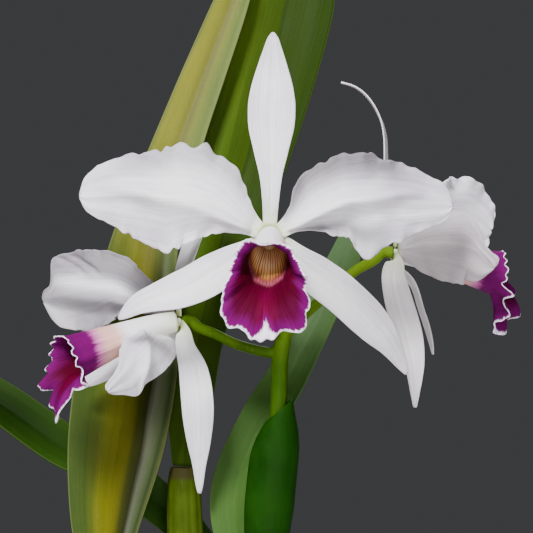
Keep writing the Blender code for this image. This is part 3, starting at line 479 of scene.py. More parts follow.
# finish of the column: white, flushed purple under its cap; the flush and the cap are darkened with painted
# shade, as they sit under the lip's hood

columnLook = {
    "stops": [
        (0.1, (0.8, 0.83, 0.6)), (0.35, (0.92, 0.9, 0.9)), (0.8, (0.9, 0.84, 0.88)),
        (0.93, (0.42, 0.12, 0.25)), (1.05, (0.5, 0.34, 0.2)),
    ],
}
columnFinish = newFinish("columnWhite", 0.45, Subsurface_Weight=0.15, Subsurface_Scale=0.002)
blot = speckle(onPiece(500), 3)
paint(colours(uvParts()[1] + blot * 0.12, columnLook["stops"]))
relief(blot, 0.3, 0.3)
print("flower finishes ready")

# blades: petals, sepals and leaves are all shaped from a flat grid, -1 to 1 across and 0 to 1 along
# a spine is in mm, from the bloom's centre or from the pot's foot
# a row of widths is (along, left half, right half), or (along, half) where both are alike
# a crease is (start along, start across, end along, end across, width, depth)
# a painted shade is the same with its share of the tone in place of the depth: below 1 it is painted shade,
# above 1 a painted highlight


def strokeAt(a, t, startT, startA, endT, endA, wide):  # 1 on a line over the blade, less beside and past it
    s = (t - startT) / (endT - startT)
    away = (a - startA - (endA - startA) * s) / wide
    return math.exp(-away * away) * smoothStep(-0.15, 0.25, s) * smoothStep(1.15, 0.75, s)


bladeShape = {
    "ribWidth": 0.11, "foldTurns": 9, "foldDrift": 2.4, "narrowing": 0.35, "crimps": 2.7, "nicks": (26, 75),
}
flatBlade = {"cup": 0, "fold": 0, "rib": 0, "folds": 0, "ruffle": 0, "frill": 0, "waves": 0, "nick": 0}


def shapeBlade(sheet, rail, piece, faces, flatten=None):
    margin = []
    value = {**flatBlade, **piece}
    phase = draw.uniform(0, 6)
    for corner in sheet.data.vertices:
        a, t = corner.co.x, (corner.co.y + 1) / 2
        centre, along = onRail(rail, t), heading(rail, t)
        side = along.cross(Vector(easeStops(faces, t))).normalized()
        up = side.cross(along)
        width = easeStops(piece["widths"], t)[0 if a < 0 else -1]
        soft = math.sqrt(a * a + 0.006) - 0.077  # a fold that is round at the rib
        lift = width * (value["cup"] * a * a + value["fold"] * soft)
        rib = math.exp(-(a / bladeShape["ribWidth"]) ** 2)
        lift -= value["rib"] * rib * smoothStep(0, 0.15, t) * smoothStep(1, 0.7, t)
        turns = bladeShape["foldTurns"] * a + bladeShape["foldDrift"] * t + phase
        lift += value["folds"] * math.sin(turns) * (1 - a * a) * smoothStep(0.1, 0.4, t)
        for *stroke, deep in piece.get("creases", []):
            lift -= deep * strokeAt(a, t, *stroke)
        swell = math.sin(math.pi * min(1, t * 1.15)) ** 0.5 if 0 < t < 0.87 else 0.4
        swell *= smoothStep(0.03, 0.2, t)
        around = math.tau * value["waves"] * t
        lift += value["ruffle"] * swell * abs(a) ** 3 * math.sin(around + 1.7 * a)
        lift += value["frill"] * swell * abs(a) ** 8 * math.sin(around * bladeShape["crimps"] + phase + 2 * a)
        narrow = 1 - bladeShape["narrowing"] * (abs(value["cup"]) + abs(value["fold"])) * abs(a)
        onRight = 3 if a > 0 else 0
        fine, finer = bladeShape["nicks"]
        uneven = noise.noise(Vector((t * fine, phase + onRight, 0)))
        uneven += 0.6 * noise.noise(Vector((t * finer, phase + onRight, 5)))
        nick = 1 + value["nick"] * abs(a) ** 4 * swell * uneven
        spot = centre + side * a * width * narrow * nick + up * lift
        if flatten:
            foot, axis, until = flatten
            spot -= axis * (spot - foot).dot(axis) * smoothStep(until * 1.6, until, t)
        corner.co = spot * mm
        margin.append(abs(a))
    numberEach(sheet, "margin", margin)


clawRing = {"radius": 2.7, "run": 4, "lipLayer": 0.7, "columnStart": -2.3}
segmentKinds = {
    "Petal": {"grid": (26, 60), "layer": -0.4, "thickness": 0.75, "finishes": [whitePetal, petalBackPaintedShade]},
    "Sepal": {"grid": (12, 36), "layer": -1.8, "thickness": 0.95, "finishes": [whiteSepal, sepalBackPaintedShade]},
}


def paintedShadeAt(piece, a, t):  # painted light and shade: the piece's tone darkens it, and lines over the blade make it lighter or darker where light and shade fall
    tone = piece.get("tone", 1)
    for *stroke, share in piece.get("paintedShades", []):
        tone *= 1 + (share - 1) * strokeAt(a, t, *stroke)
    return min(tone, 1)


def nodeOf(name):  # frontDorsalSepal takes the place of front_bloom_dorsal_sepal
    side, *words = re.findall("[A-Z]?[a-z]+", name)
    return "_".join([side, "bloom", *words]).lower()


def makeSegment(name, bloom, piece):  # a sepal or petal
    kind = segmentKinds[name[-5:]]
    axis = Vector(bloom["axis"]).normalized()
    up = (Vector((0, 0, 1)) - axis * axis.z).normalized()
    side = up.cross(axis)
    angle = math.radians(piece["angle"])
    away = side * math.cos(angle) + up * math.sin(angle)
    centre = Vector(bloom["centre"])
    layer = centre + axis * kind["layer"]
    foot = layer + away * clawRing["radius"]
    rail = smoothRail([foot, foot + away * clawRing["run"]] + [centre + Vector(p) for p in piece["spine"]])
    look = Vector(piece.get("face", axis)).normalized()
    faces = piece.get("faces", [(0, *axis), (0.07, *axis), (0.3, *look), (1, *look)])
    sheet = newGrid(name, *kind["grid"])
    # painted shade and painted highlight at each corner of the blade
    paintedTones = [paintedShadeAt(piece, corner.co.x, (corner.co.y + 1) / 2) for corner in sheet.data.vertices]
    shapeBlade(sheet, rail, piece, faces, (layer, axis, piece.get("clawEnd", 0.07)))
    numberEach(sheet, "tone", paintedTones)
    thicken(sheet, kind["thickness"], 0.55)
    finishPiece(sheet, nodeOf(name), kind["finishes"])


# the lip: its tube runs from the bloom's axis to the lip's own, and ends in a flared, waved lobe
# a row of the flare is (angle from the bottom, outward, forward)
# the grid is columns, rows of the tube and rows of the flare

lipShape = {
    "sections": [(0, 0, 4.6, 4.6), (0.3, -1.2, 6.2, 5.7), (0.6, -2.8, 8.4, 7.3), (1, -5.6, 10.6, 10)],
    "flare": [
        (-180, 0.8, 4.2), (-165, 1.4, 4.3), (-152, 4.4, 4.4), (-139, 6.2, 4.4), (-127, 5.4, 4.4),
        (-115, 4.6, 5.4), (-99, 5, 6.8), (-89.5, 6.2, 7.5), (-81.5, 5.6, 8.2), (-73, 7.7, 10.6),
        (-62.5, 11.4, 13.7), (-51, 14.7, 12.1), (-41.5, 17.2, 14.2), (-34, 19.4, 15), (-30, 17.6, 14.7),
        (-25, 16.3, 15.2), (-21.5, 15.9, 15.9), (-17, 18.2, 16.6), (-11, 19.9, 18), (-4, 18.8, 19.4),
        (8, 16.3, 20.3), (19, 16.5, 20.5), (26, 16.8, 19.8), (30, 18.8, 19.4), (35, 18.4, 18.9),
        (40.5, 16.6, 17.5), (44, 13.9, 16.3), (50, 13.4, 14), (56, 12.2, 10.2), (60.5, 8.3, 7.2),
        (68.5, 8.9, 6.3), (77.5, 7.2, 6.6), (84, 5.6, 8.6), (92, 4.7, 8.2), (107.5, 4, 6.6), (114, 2.7, 6.3),
        (122, 3.1, 6.3), (131, 3.8, 6.4), (143, 4, 6), (159.5, 2.2, 5.2), (180, 0.8, 4.2),
    ],
    "bend": 20, "wave": 0.9, "waves": 14, "frill": 1.5, "frills": 31, "thickness": 0.7,
    "grid": (108, 20, 20),
}


def lipFrame(bloom, station):
    axis, lipAxis = Vector(bloom["axis"]).normalized(), Vector(bloom["lipAxis"]).normalized()
    centre = Vector(bloom["centre"]) + axis * clawRing["lipLayer"]
    before, along = 0, axis
    steps = max(1, round(abs(station) / bloom["lipLength"] * 16))
    for step in range(1, steps + 1):
        now = station * step / steps
        share = min(now / lipShape["bend"], 1)
        along = axis.lerp(lipAxis, share * share * (3 - 2 * share)).normalized()
        centre = centre + along * (now - before)
        before = now
    up = (Vector((0, 0, 1)) - along * along.z).normalized()
    return centre, along, up, up.cross(along)


def makeLip(name, bloom):
    columns, tubeRows, flareRows = lipShape["grid"]
    length = bloom["lipLength"]
    sheet = newGrid(name, columns, tubeRows + flareRows)
    frames = [lipFrame(bloom, length * k / tubeRows) for k in range(tubeRows + 1)]
    phase = draw.uniform(0, 6)
    found = []
    for corner in sheet.data.vertices:
        row = round((corner.co.y + 1) / 2 * (tubeRows + flareRows))
        x = -corner.co.x
        angle = x * (182 - 2 * smoothStep(0.45, 1, row / tubeRows))
        radians = math.radians(angle)
        sine, cosine = math.sin(radians), math.cos(radians)
        centre, along, up, side = frames[min(row, tubeRows)]
        drop, halfWidth, halfHeight = easeStops(lipShape["sections"], min(row, tubeRows) / tubeRows)
        lap = 0.1 * math.copysign(smoothStep(0.84, 1, abs(x)), x)  # one side lies over the other
        away = side * sine - up * cosine
        spot = centre + up * (drop - (halfHeight + lap) * cosine) + side * (halfWidth + lap) * sine
        spot += away * 0.25 * math.sin(radians * 9 + 1) * smoothStep(0.3, 1, row / tubeRows)
        outward, forward = easeStops(bloom.get("flare", lipShape["flare"]), max(-180, min(180, angle)))
        flareLength = math.hypot(outward, forward) * 1.1
        if row > tubeRows:
            share = (row - tubeRows) / flareRows
            reach = 0.5 * math.pi * share
            uneven = noise.noise(Vector((radians * 2.2, phase, 0)))
            wave = math.sin(lipShape["waves"] * radians + 0.6) * share ** 2
            wave *= lipShape["wave"] * bloom["ruffle"] * min(1, outward / 8 + 0.25)
            frill = math.sin(lipShape["frills"] * radians + phase + 5 * uneven) * share ** 4
            frill *= (0.75 + 0.9 * uneven) * lipShape["frill"] * min(1, outward / 10 + 0.2)
            spot += along * (forward * math.sin(reach) + wave + frill)
            spot += away * (outward * (1 - math.cos(reach)) + 0.45 * wave + 0.5 * frill)
            run, edge = flareLength * share, flareLength * (1 - share)
        else:
            run = length * (row / tubeRows - 1)
            edge = flareLength - run
        corner.co = spot * mm
        found.append((angle / 180, run, edge, smoothStep(3, 0, edge), bloom["wedge"]))
    for layerName, values in zip(("turn", "run", "edge", "margin", "wedge"), zip(*found)):
        numberEach(sheet, layerName, values)
    thicken(sheet, lipShape["thickness"], 0.6)
    finishPiece(sheet, nodeOf(name), [lipInside, lipOutside])


# tubes are shaped from a grid whose sides meet

def closeSeam(sheet, capped):
    alone(sheet)
    openMesh()
    bpy.ops.mesh.remove_doubles(threshold=0.00002)
    if capped:
        bpy.ops.mesh.select_all(action="DESELECT")
        bpy.ops.mesh.select_non_manifold(extend=False, use_boundary=True, use_wire=False,
                                         use_multi_face=False, use_non_contiguous=False, use_verts=False)
        bpy.ops.mesh.edge_face_add()
        bpy.ops.mesh.select_all(action="SELECT")
    bpy.ops.mesh.normals_make_consistent(inside=False)
    bpy.ops.object.mode_set(mode="OBJECT")


def shapeTube(sheet, rail, radii, flat=1, upward=(0, 1, 0), groove=None):
    for corner in sheet.data.vertices:
        angle, t = math.pi * corner.co.x, (corner.co.y + 1) / 2
        centre, along = onRail(rail, t), heading(rail, t)
        side = along.cross(Vector(upward)).normalized()
        other = along.cross(side)
        radius = easeStops(radii, t)[0]
        if groove:
            radius *= groove(angle, t)
        spot = centre + side * math.cos(angle) * radius + other * math.sin(angle) * radius * flat
        corner.co = spot * mm
    closeSeam(sheet, True)


columnShape = {
    "length": 24.3, "drop": 0.3, "grid": (20, 30),
    "radii": [
        (0, 1.7), (0.03, 2.1), (0.4, 2.4), (0.75, 2.9), (0.84, 3), (0.87, 2.5), (0.9, 2.75), (0.96, 2.3),
        (1, 0.4),
    ],
}


def makeColumn(name, bloom):
    axis = Vector(bloom["axis"]).normalized()
    points = [Vector(bloom["centre"]) + axis * clawRing["columnStart"]]
    for k in range(1, 7):
        centre, along, up, side = lipFrame(bloom, columnShape["length"] * k / 6)
        points.append(centre - up * columnShape["drop"])
    sheet = newGrid(name, *columnShape["grid"])
    shapeTube(sheet, smoothRail(points), columnShape["radii"], upward=lipFrame(bloom, 0.001)[2])
    finishPiece(sheet, nodeOf(name), [columnFinish], sharp=60)


# front bloom, facing the camera

frontBloom = {
    "centre": (31.9, -50, 434), "axis": (0, -1, -0.06), "lipAxis": (-0.035, -0.975, -0.2), "lipLength": 46,
    "ruffle": 1, "wedge": 1,
}

frontDorsalSepal = {
    "angle": 90, "face": (0, -1, 0.1), "cup": 0.12, "rib": 0.7, "folds": 0.12,
    "spine": [(0.3, -1.5, 20), (0.5, 0, 45), (1, 3, 70), (1.4, 7, 94)],
    "widths": [
        (0, 3.2), (0.1, 3.6), (0.25, 5), (0.4, 8.3), (0.55, 11.2), (0.62, 11.3), (0.7, 10.3), (0.85, 6.4),
        (0.95, 3.3), (0.985, 2.3), (1, 0.7),
    ],
}
makeSegment("frontDorsalSepal", frontBloom, frontDorsalSepal)

frontLeftPetal = {
    "angle": 150, "face": (0, -1, 0), "cup": -0.1, "ruffle": 1.1, "waves": 7, "frill": 0.45, "nick": 0.14,
    # the shades darken its upper and lower flanks with painted shade
    "paintedShades": [(0.15, 0.95, 0.85, 0.8, 0.42, 0.52), (0.1, -0.6, 0.85, -0.45, 0.3, 0.7)], "rib": -0.4,
    "folds": 0.35,
    "creases": [
        (0.04, -0.45, 0.8, 0.14, 0.17, -3.8), (0.25, -0.9, 0.8, -0.2, 0.25, 2),
        (0.45, 0.55, 0.62, 1, 0.12, 0.8), (0.55, 0.5, 0.78, 1, 0.12, 0.8),
    ],
    "spine": [
        (-14, -3.5, 8.5), (-24, -5.5, 14.5), (-37, -6.5, 18), (-50, -5.5, 18.5), (-65, -3, 19.5),
        (-87, 3, 18.5),
    ],
    "widths": [
        (0, 3, 3), (0.1, 5.6, 6.2), (0.17, 9.4, 10.4), (0.3, 17.6, 20.4), (0.44, 23.2, 25.2),
        (0.525, 26.2, 23.6), (0.548, 28, 23), (0.575, 25.4, 22.4), (0.63, 22.8, 21), (0.745, 19.3, 18.6),
        (0.84, 14.6, 16.2), (0.92, 10.4, 13), (0.965, 7.6, 9.6), (0.988, 5, 6.6), (1, 1.2, 1.2),
    ],
}
makeSegment("frontLeftPetal", frontBloom, frontLeftPetal)

frontRightPetal = {
    "angle": 30, "face": (0, -1, 0), "cup": -0.1, "ruffle": 1.1, "waves": 7, "frill": 0.45, "nick": 0.14,
    # the shades are painted shade: on the upper lobe by the claw, in the hollow under the ridge, and over the
    # lower part
    "paintedShades": [
        (0.08, -1, 0.8, -0.85, 0.52, 0.24), (0.1, 0.9, 0.66, 0.5, 0.22, 0.35),
        (0.1, 1.1, 0.9, 0.8, 0.5, 0.75),
    ],
    "rib": -0.4, "folds": 0.35,
    "creases": [
        (0.04, 0.45, 0.8, -0.32, 0.18, -5.4), (0.06, 0.9, 0.55, 0.45, 0.22, 3.4),
        (0.1, -1.15, 0.5, -1, 0.38, -3.6), (0.6, 0.3, 0.85, 0.8, 0.12, 0.9),
        (0.55, -0.5, 0.72, -1, 0.12, 0.7),
    ],
    "spine": [
        (14, -3.5, 8.5), (23, -5.5, 13.5), (35, -6.5, 16.5), (48, -5.5, 16), (65, -3, 15.5), (83.5, 3, 14),
    ],
    "widths": [
        (0, 3, 3), (0.1, 5.2, 4.6), (0.16, 8.2, 7), (0.22, 13.2, 10.2), (0.3, 18.6, 15), (0.44, 21.2, 18.8),
        (0.55, 21.8, 26), (0.64, 20.2, 22), (0.75, 17.3, 17.6), (0.86, 13.2, 12.2), (0.93, 11, 9.4),
        (0.97, 8, 6.8), (0.99, 5, 4.4), (1, 1.2, 1.2),
    ],
}
makeSegment("frontRightPetal", frontBloom, frontRightPetal)

frontLeftSepal = {
    "angle": 210, "face": (0, -0.96, 0.28), "cup": 0.1, "rib": 0.6, "folds": 0.15, "ruffle": 0.3, "waves": 3,
    "spine": [
        (-18, 0, -11), (-31, 0.5, -19), (-42, 1.5, -24.5), (-53, 3, -28), (-61, 5, -31), (-69.5, 8, -37.5),
    ],
    "widths": [
        (0, 3.2, 3.2), (0.12, 6.8, 5), (0.23, 10.4, 7.2), (0.42, 10.6, 9), (0.58, 9.2, 8.8), (0.72, 7, 7),
        (0.84, 5.2, 5.2), (0.95, 2.7, 2.7), (1, 0.9, 0.9),
    ],
}
makeSegment("frontLeftSepal", frontBloom, frontLeftSepal)

frontRightSepal = {
    # its tone of 0.72 is painted shade
    "angle": 330, "tone": 0.72, "face": (-0.08, -0.95, -0.3), "cup": 0.1, "rib": 0.6, "folds": 0.15,
    "ruffle": 0.3, "waves": 3,
    "spine": [
        (12, 0, -9.5), (21, 0.5, -17), (31, 1.5, -24.5), (41, 3, -33.5), (49, 4.5, -42), (56, 6.5, -51),
        (63, 9, -63),
    ],
    "widths": [
        (0, 3.2), (0.15, 6.5), (0.28, 9.4), (0.42, 9.8), (0.58, 9.6), (0.71, 8.4), (0.84, 5.2), (0.95, 2.5),
        (1, 0.9),
    ],
}
makeSegment("frontRightSepal", frontBloom, frontRightSepal)
makeLip("frontLip", frontBloom)
makeColumn("frontColumn", frontBloom)
print("front bloom done")

# left bloom, turned to the left

leftBloom = {
    "centre": (-12.8, -8, 394), "axis": (-0.93, -0.35, -0.08), "lipAxis": (-0.855, -0.465, -0.2),
    "lipLength": 51.5, "ruffle": 2.6, "wedge": 0.2,
    "flare": [
        (-180, 0.8, 6.5), (-130, 2, 7), (-100, 2.6, 7.5), (-80, 3, 9), (-62, 4.2, 12.5), (-50, 6.5, 15),
        (-40, 8, 14.5), (-30, 11, 13), (-20, 13.4, 12.5), (-12, 16, 14.8), (-5, 19, 16.5), (2, 16, 15),
        (10, 11, 13), (20, 8, 10.2), (29, 5.2, 7), (37, 7.8, 5.6), (45, 9.4, 4.6), (54, 7.5, 4.6),
        (65, 4.6, 5.4), (80, 3.2, 6.6), (100, 2.4, 7), (130, 1.5, 6.6), (180, 0.8, 6.5),
    ],
}

leftDorsalSepal = {
    "angle": 90, "face": (-0.85, -0.5, 0.1), "cup": 0.12, "rib": 0.6, "folds": 0.12,
    "spine": [(0.5, 0.5, 16), (6, 5.5, 31), (10.4, 11.5, 46.5), (10.6, 14, 63), (9.5, 15, 77)],
    "widths": [(0, 3.2), (0.15, 4.5), (0.4, 9.5), (0.6, 10.7), (0.8, 7.7), (0.95, 2.9), (1, 0.9)],
}
makeSegment("leftDorsalSepal", leftBloom, leftDorsalSepal)

leftRearPetal = {
    # its tone of 0.36 darkens the whole petal with painted shade; its shades paint a highlight band along it
    # and a lighter lower margin near the tip
    "angle": 155, "tone": 0.36,
    "paintedShades": [(0.3, -0.22, 0.9, 0.38, 0.2, 2.7), (0.75, -1.1, 1.05, -0.5, 0.3, 1.7)],
    "face": (-0.5, -0.85, 0), "cup": 0.1, "ruffle": 1.6, "waves": 6, "frill": 0.8, "nick": 0.08, "rib": 0.2,
    "folds": 0.4,
    "creases": [
        (0.25, -0.6, 0.97, 0.1, 0.2, -4.5), (0.3, -1, 0.95, -0.4, 0.18, 2.6), (0.6, 0.4, 0.8, 1, 0.07, 3.4),
        (0.7, 0.45, 0.86, 1, 0.06, 3),
    ],
    "spine": [
        (-10, 8, 8.4), (-18, 13, 12.6), (-29, 20, 16.6), (-41, 27, 15.6), (-54, 33, 13.6), (-67.5, 38, 10.6),
    ],
    "widths": [
        (0, 3, 3), (0.15, 5.5, 6), (0.3, 10, 11.2), (0.4, 13.5, 14.6), (0.5, 17.3, 17.8), (0.6, 20, 19.6),
        (0.7, 20.6, 20.3), (0.8, 19.6, 19.8), (0.85, 18.6, 19.6), (0.89, 17, 19), (0.905, 16.4, 16),
        (0.918, 15.4, 9.6), (0.935, 13.8, 6), (0.965, 10.2, 4.4), (0.985, 6.4, 3.4), (1, 2.5, 1.2),
    ],
}
makeSegment("leftRearPetal", leftBloom, leftRearPetal)

leftFrontPetal = {
    # its tone of 0.95 is painted shade
    "angle": 200, "tone": 0.95, "cup": -0.1, "fold": -0.2, "ruffle": 0.5, "waves": 4, "frill": 0.3,
    "nick": 0.04, "rib": 0.1, "folds": 0.3,
    "creases": [(0.32, 0.95, 0.745, -1, 0.4, -2.2), (0.34, 0.86, 0.74, -0.98, 0.1, -0.7)],
    "faces": [
        (0, -0.93, -0.35, -0.08), (0.06, -0.6, -0.6, 0.2), (0.2, 0.5, -0.68, 0.45), (1, 0.61, -0.62, 0.44),
    ],
    "spine": [(-6.9, -12, -9.2), (-14.3, -25, -16.6), (-21.5, -38, -23.6), (-28.6, -49, -29.9)],
    "widths": [
        (0, 3, 3), (0.06, 4.4, 5.6), (0.14, 8, 10.6), (0.23, 10.6, 15.6), (0.3, 11.6, 17.6),
        (0.46, 12.2, 16.2), (0.55, 11.6, 13.8), (0.7, 10.4, 9.2), (0.76, 12.2, 6.8), (0.8, 11.6, 5.6),
        (0.88, 7.4, 4.2), (0.98, 2.6, 3.2), (1, 1, 1.6),
    ],
}
makeSegment("leftFrontPetal", leftBloom, leftFrontPetal)

leftFrontSepal = {
    "angle": 325, "cup": 0.12, "rib": 0.7, "folds": 0.2, "ruffle": 0.4, "waves": 3, "clawEnd": 0.025,
    "faces": [
        (0, -0.93, -0.35, -0.08), (0.02, -0.9, -0.4, 0), (0.07, -0.35, -0.93, 0), (1, -0.35, -0.93, 0),
    ],
    "spine": [(4.9, -4, -12), (8.8, -5, -23), (10.6, -4, -37), (11, 0, -56), (11, 6, -82)],
    "widths": [(0, 3.2), (0.15, 5.4), (0.3, 7.8), (0.48, 8.7), (0.7, 6.2), (0.85, 3.4), (0.95, 2), (1, 0.9)],
}
makeSegment("leftFrontSepal", leftBloom, leftFrontSepal)

leftRearSepal = {
    "angle": 215, "face": (-0.3, -0.93, 0), "cup": 0.1, "rib": 0.5, "folds": 0.12,
    "spine": [(-14, 5, -8), (-26, 9, -16), (-37, 11, -24.5), (-46, 12, -31.5)],
    "widths": [(0, 3.2), (0.3, 6.6), (0.6, 7.6), (0.85, 4.7), (1, 0.9)],
}
makeSegment("leftRearSepal", leftBloom, leftRearSepal)
makeLip("leftLip", leftBloom)
makeColumn("leftColumn", leftBloom)
print("left bloom done")

# right bloom, turned to the right

rightBloom = {
    "centre": (93.9, 8, 427), "axis": (0.98, 0.12, -0.06), "lipAxis": (0.97, 0.08, -0.08), "lipLength": 45,
    "ruffle": 2.4, "wedge": 0.2,
    "flare": [
        (-180, 0.8, 5), (-120, 0.8, 5.4), (-95, 0.9, 6.4), (-75, 0.8, 6), (-60, 1.6, 5), (-45, 5.4, 8.6),
        (-30, 7.8, 6.8), (-20, 11.8, 8), (-9, 16.2, 5.8), (1, 19.5, 3.6), (7, 18.4, 8.2), (14, 16.2, 13),
        (25, 12.9, 16.8), (38, 7.8, 16.6), (60, 3, 13.5), (90, 1.5, 9.5), (120, 1.2, 6.5), (180, 0.8, 5),
    ],
}

rightDorsalSepal = {
    "angle": 90, "cup": 0.03, "rib": 0.2, "folds": 0.04,
    "faces": [
        (0, 0.98, 0.12, -0.06), (0.3, 1, -0.15, 0.1), (0.58, 0.97, -0.13, -0.1), (0.8, 0.75, -0.04, 0.6),
        (1, 0.2, -0.01, 1),
    ],
    "spine": [
        (-3, -1, 18.4), (-5.9, -2, 35.3), (-6.4, -2, 54.6), (-8.8, -2, 65.2), (-14.6, -2, 74.9),
        (-20.9, -2, 80.2), (-27.6, -2, 82.4),
    ],
    "widths": [(0, 3.2), (0.15, 4.5), (0.4, 9), (0.6, 9.4), (0.8, 5.8), (0.95, 2.2), (1, 0.6)],
}
makeSegment("rightDorsalSepal", rightBloom, rightDorsalSepal)

rightRearPetal = {
    "angle": 25, "face": (0.55, -0.8, 0), "cup": 0.12, "ruffle": 2.6, "waves": 6, "frill": 1.6, "nick": 0.12,
    "rib": 0.8, "folds": 0.6, "spine": [(11, 9, 8), (23, 18, 15.4), (35, 26, 17.6), (48.5, 34, 10.5)],
    "widths": [
        (0, 3, 3), (0.2, 7, 8), (0.4, 14.3, 18), (0.5, 18, 21), (0.6, 21, 22.2), (0.7, 20.7, 21.4),
        (0.8, 18.4, 22.2), (0.85, 16, 21.8), (0.9, 13.5, 19.4), (0.95, 11, 17.4), (0.98, 8.6, 14.6),
        (1, 3.6, 6),
    ],
}
makeSegment("rightRearPetal", rightBloom, rightRearPetal)

rightFrontPetal = {
    # its tone of 0.62 is painted shade on this petal, which is seen from its back and turned from the light
    "angle": 155, "tone": 0.62, "face": (0.6, 0.75, 0.1), "cup": 0.2, "ruffle": 0.6, "waves": 5,
    "frill": 0.1, "nick": 0.03, "rib": 0.8, "folds": 0.5,
    "spine": [(3, -9, 2.5), (11.5, -17, 4.5), (24, -25, 5), (34.5, -31, 2), (43, -34, -7)],
    "widths": [
        (0, 3, 3), (0.15, 8.6, 6), (0.25, 15.6, 9), (0.35, 18.6, 12), (0.5, 21, 15.2), (0.65, 22, 16),
        (0.72, 22, 12.6), (0.78, 22, 7.6), (0.85, 20.8, 4.2), (0.9, 19.6, 4.3), (0.95, 16.4, 5.1),
        (0.98, 12.6, 4.6), (1, 4, 1.5),
    ],
}
makeSegment("rightFrontPetal", rightBloom, rightFrontPetal)

rightFrontSepal = {
    "angle": 215, "cup": 0.12, "rib": 0.6, "folds": 0.15, "ruffle": 0.4, "waves": 3, "clawEnd": 0.025,
    "faces": [(0, 0.98, 0.12, -0.06), (0.02, 0.9, 0.4, 0), (0.07, 0.4, 0.9, 0), (1, 0.4, 0.9, 0)],
    "spine": [(-2.4, -3, -11.5), (-0.4, -5, -22.6), (3.8, -6, -37), (7.4, -5, -54), (8.2, 0, -74.5)],
    "widths": [
        (0, 3.2, 3.2), (0.06, 4.8, 4.4), (0.15, 6.6, 6.2), (0.32, 7.3, 7.3), (0.5, 7.6, 7.6),
        (0.7, 5.6, 5.6), (0.9, 2.6, 2.6), (1, 0.9, 0.9),
    ],
}
makeSegment("rightFrontSepal", rightBloom, rightFrontSepal)

rightRearSepal = {
    "angle": 325, "face": (0.9, 0.35, 0), "cup": 0.1, "rib": 0.5, "folds": 0.12,
    "spine": [(7, 8, -15.5), (12, 17, -28), (16.6, 26, -40.5), (19.5, 33, -50)],
    "widths": [(0, 3.2), (0.3, 6.1), (0.6, 6.7), (0.85, 4.2), (1, 0.9)],
}
makeSegment("rightRearSepal", rightBloom, rightRearSepal)
makeLip("rightLip", rightBloom)
makeColumn("rightColumn", rightBloom)
print("right bloom done")

# leaves: thick straps with a channel along the middle
# low and high are the colours across a leaf at its foot and at its top; grain multiplies them

leafGrain = {"fibre": (0.62, 0.68, 0.6), "mottle": (1.35, 1.25, 1.2), "dots": (1.9, 1.7, 2)}


def leafFinish(name, look):
    finish = newFinish(name, look["roughness"], Specular_IOR_Level=0.04)
    across, along = uvParts()
    drift = speckle(packed(across * 3, along * 5), 2)
    place = across + (drift - 0.5) * look["drift"]
    fibre = speckle(packed(across * 60, along * 2.5), 3)
    mottle, dots = speckle(onPiece(60, 60, 25), 4, 0.6), speckle(onPiece(900, 900, 500), 2)
    base = blend(between(along, *look["change"]), colours(place, look["low"]), colours(place, look["high"]))
    base = tint(between(fibre, 0.35, 0.7, 0, 0.35), base, leafGrain["fibre"])
    base = tint(between(mottle, 0.4, 0.66, 0, 0.4), base, leafGrain["mottle"])
    base = tint(between(dots, 0.58, 0.68) * look["dots"], base, leafGrain["dots"])
    base = blend(between(abs(across - 0.5), 0.485, 0.5) * 0.6, base, look["rim"])
    paint(base, between(mottle, 0.3, 0.7, look["roughness"] - 0.08, look["roughness"] + 0.1))
    relief(fibre * 0.6 + dots * 0.15, 0.45, 0.5)
    return finish


leafShape = {"grid": (20, 64), "thickness": 2, "thin": 0.5}


def makeLeaf(name, node, leaf):
    rail = smoothRail(leaf["spine"])
    sheet = newGrid(name, *leafShape["grid"])
    shapeBlade(sheet, rail, leaf, leaf["faces"])
    thicken(sheet, leafShape["thickness"], leafShape["thin"])
    face = leafFinish(name + "Face", leaf["look"])
    back = leafFinish(name + "Back", {**leaf["look"], **leaf["backLook"]})
    finishPiece(sheet, node, [face, back])


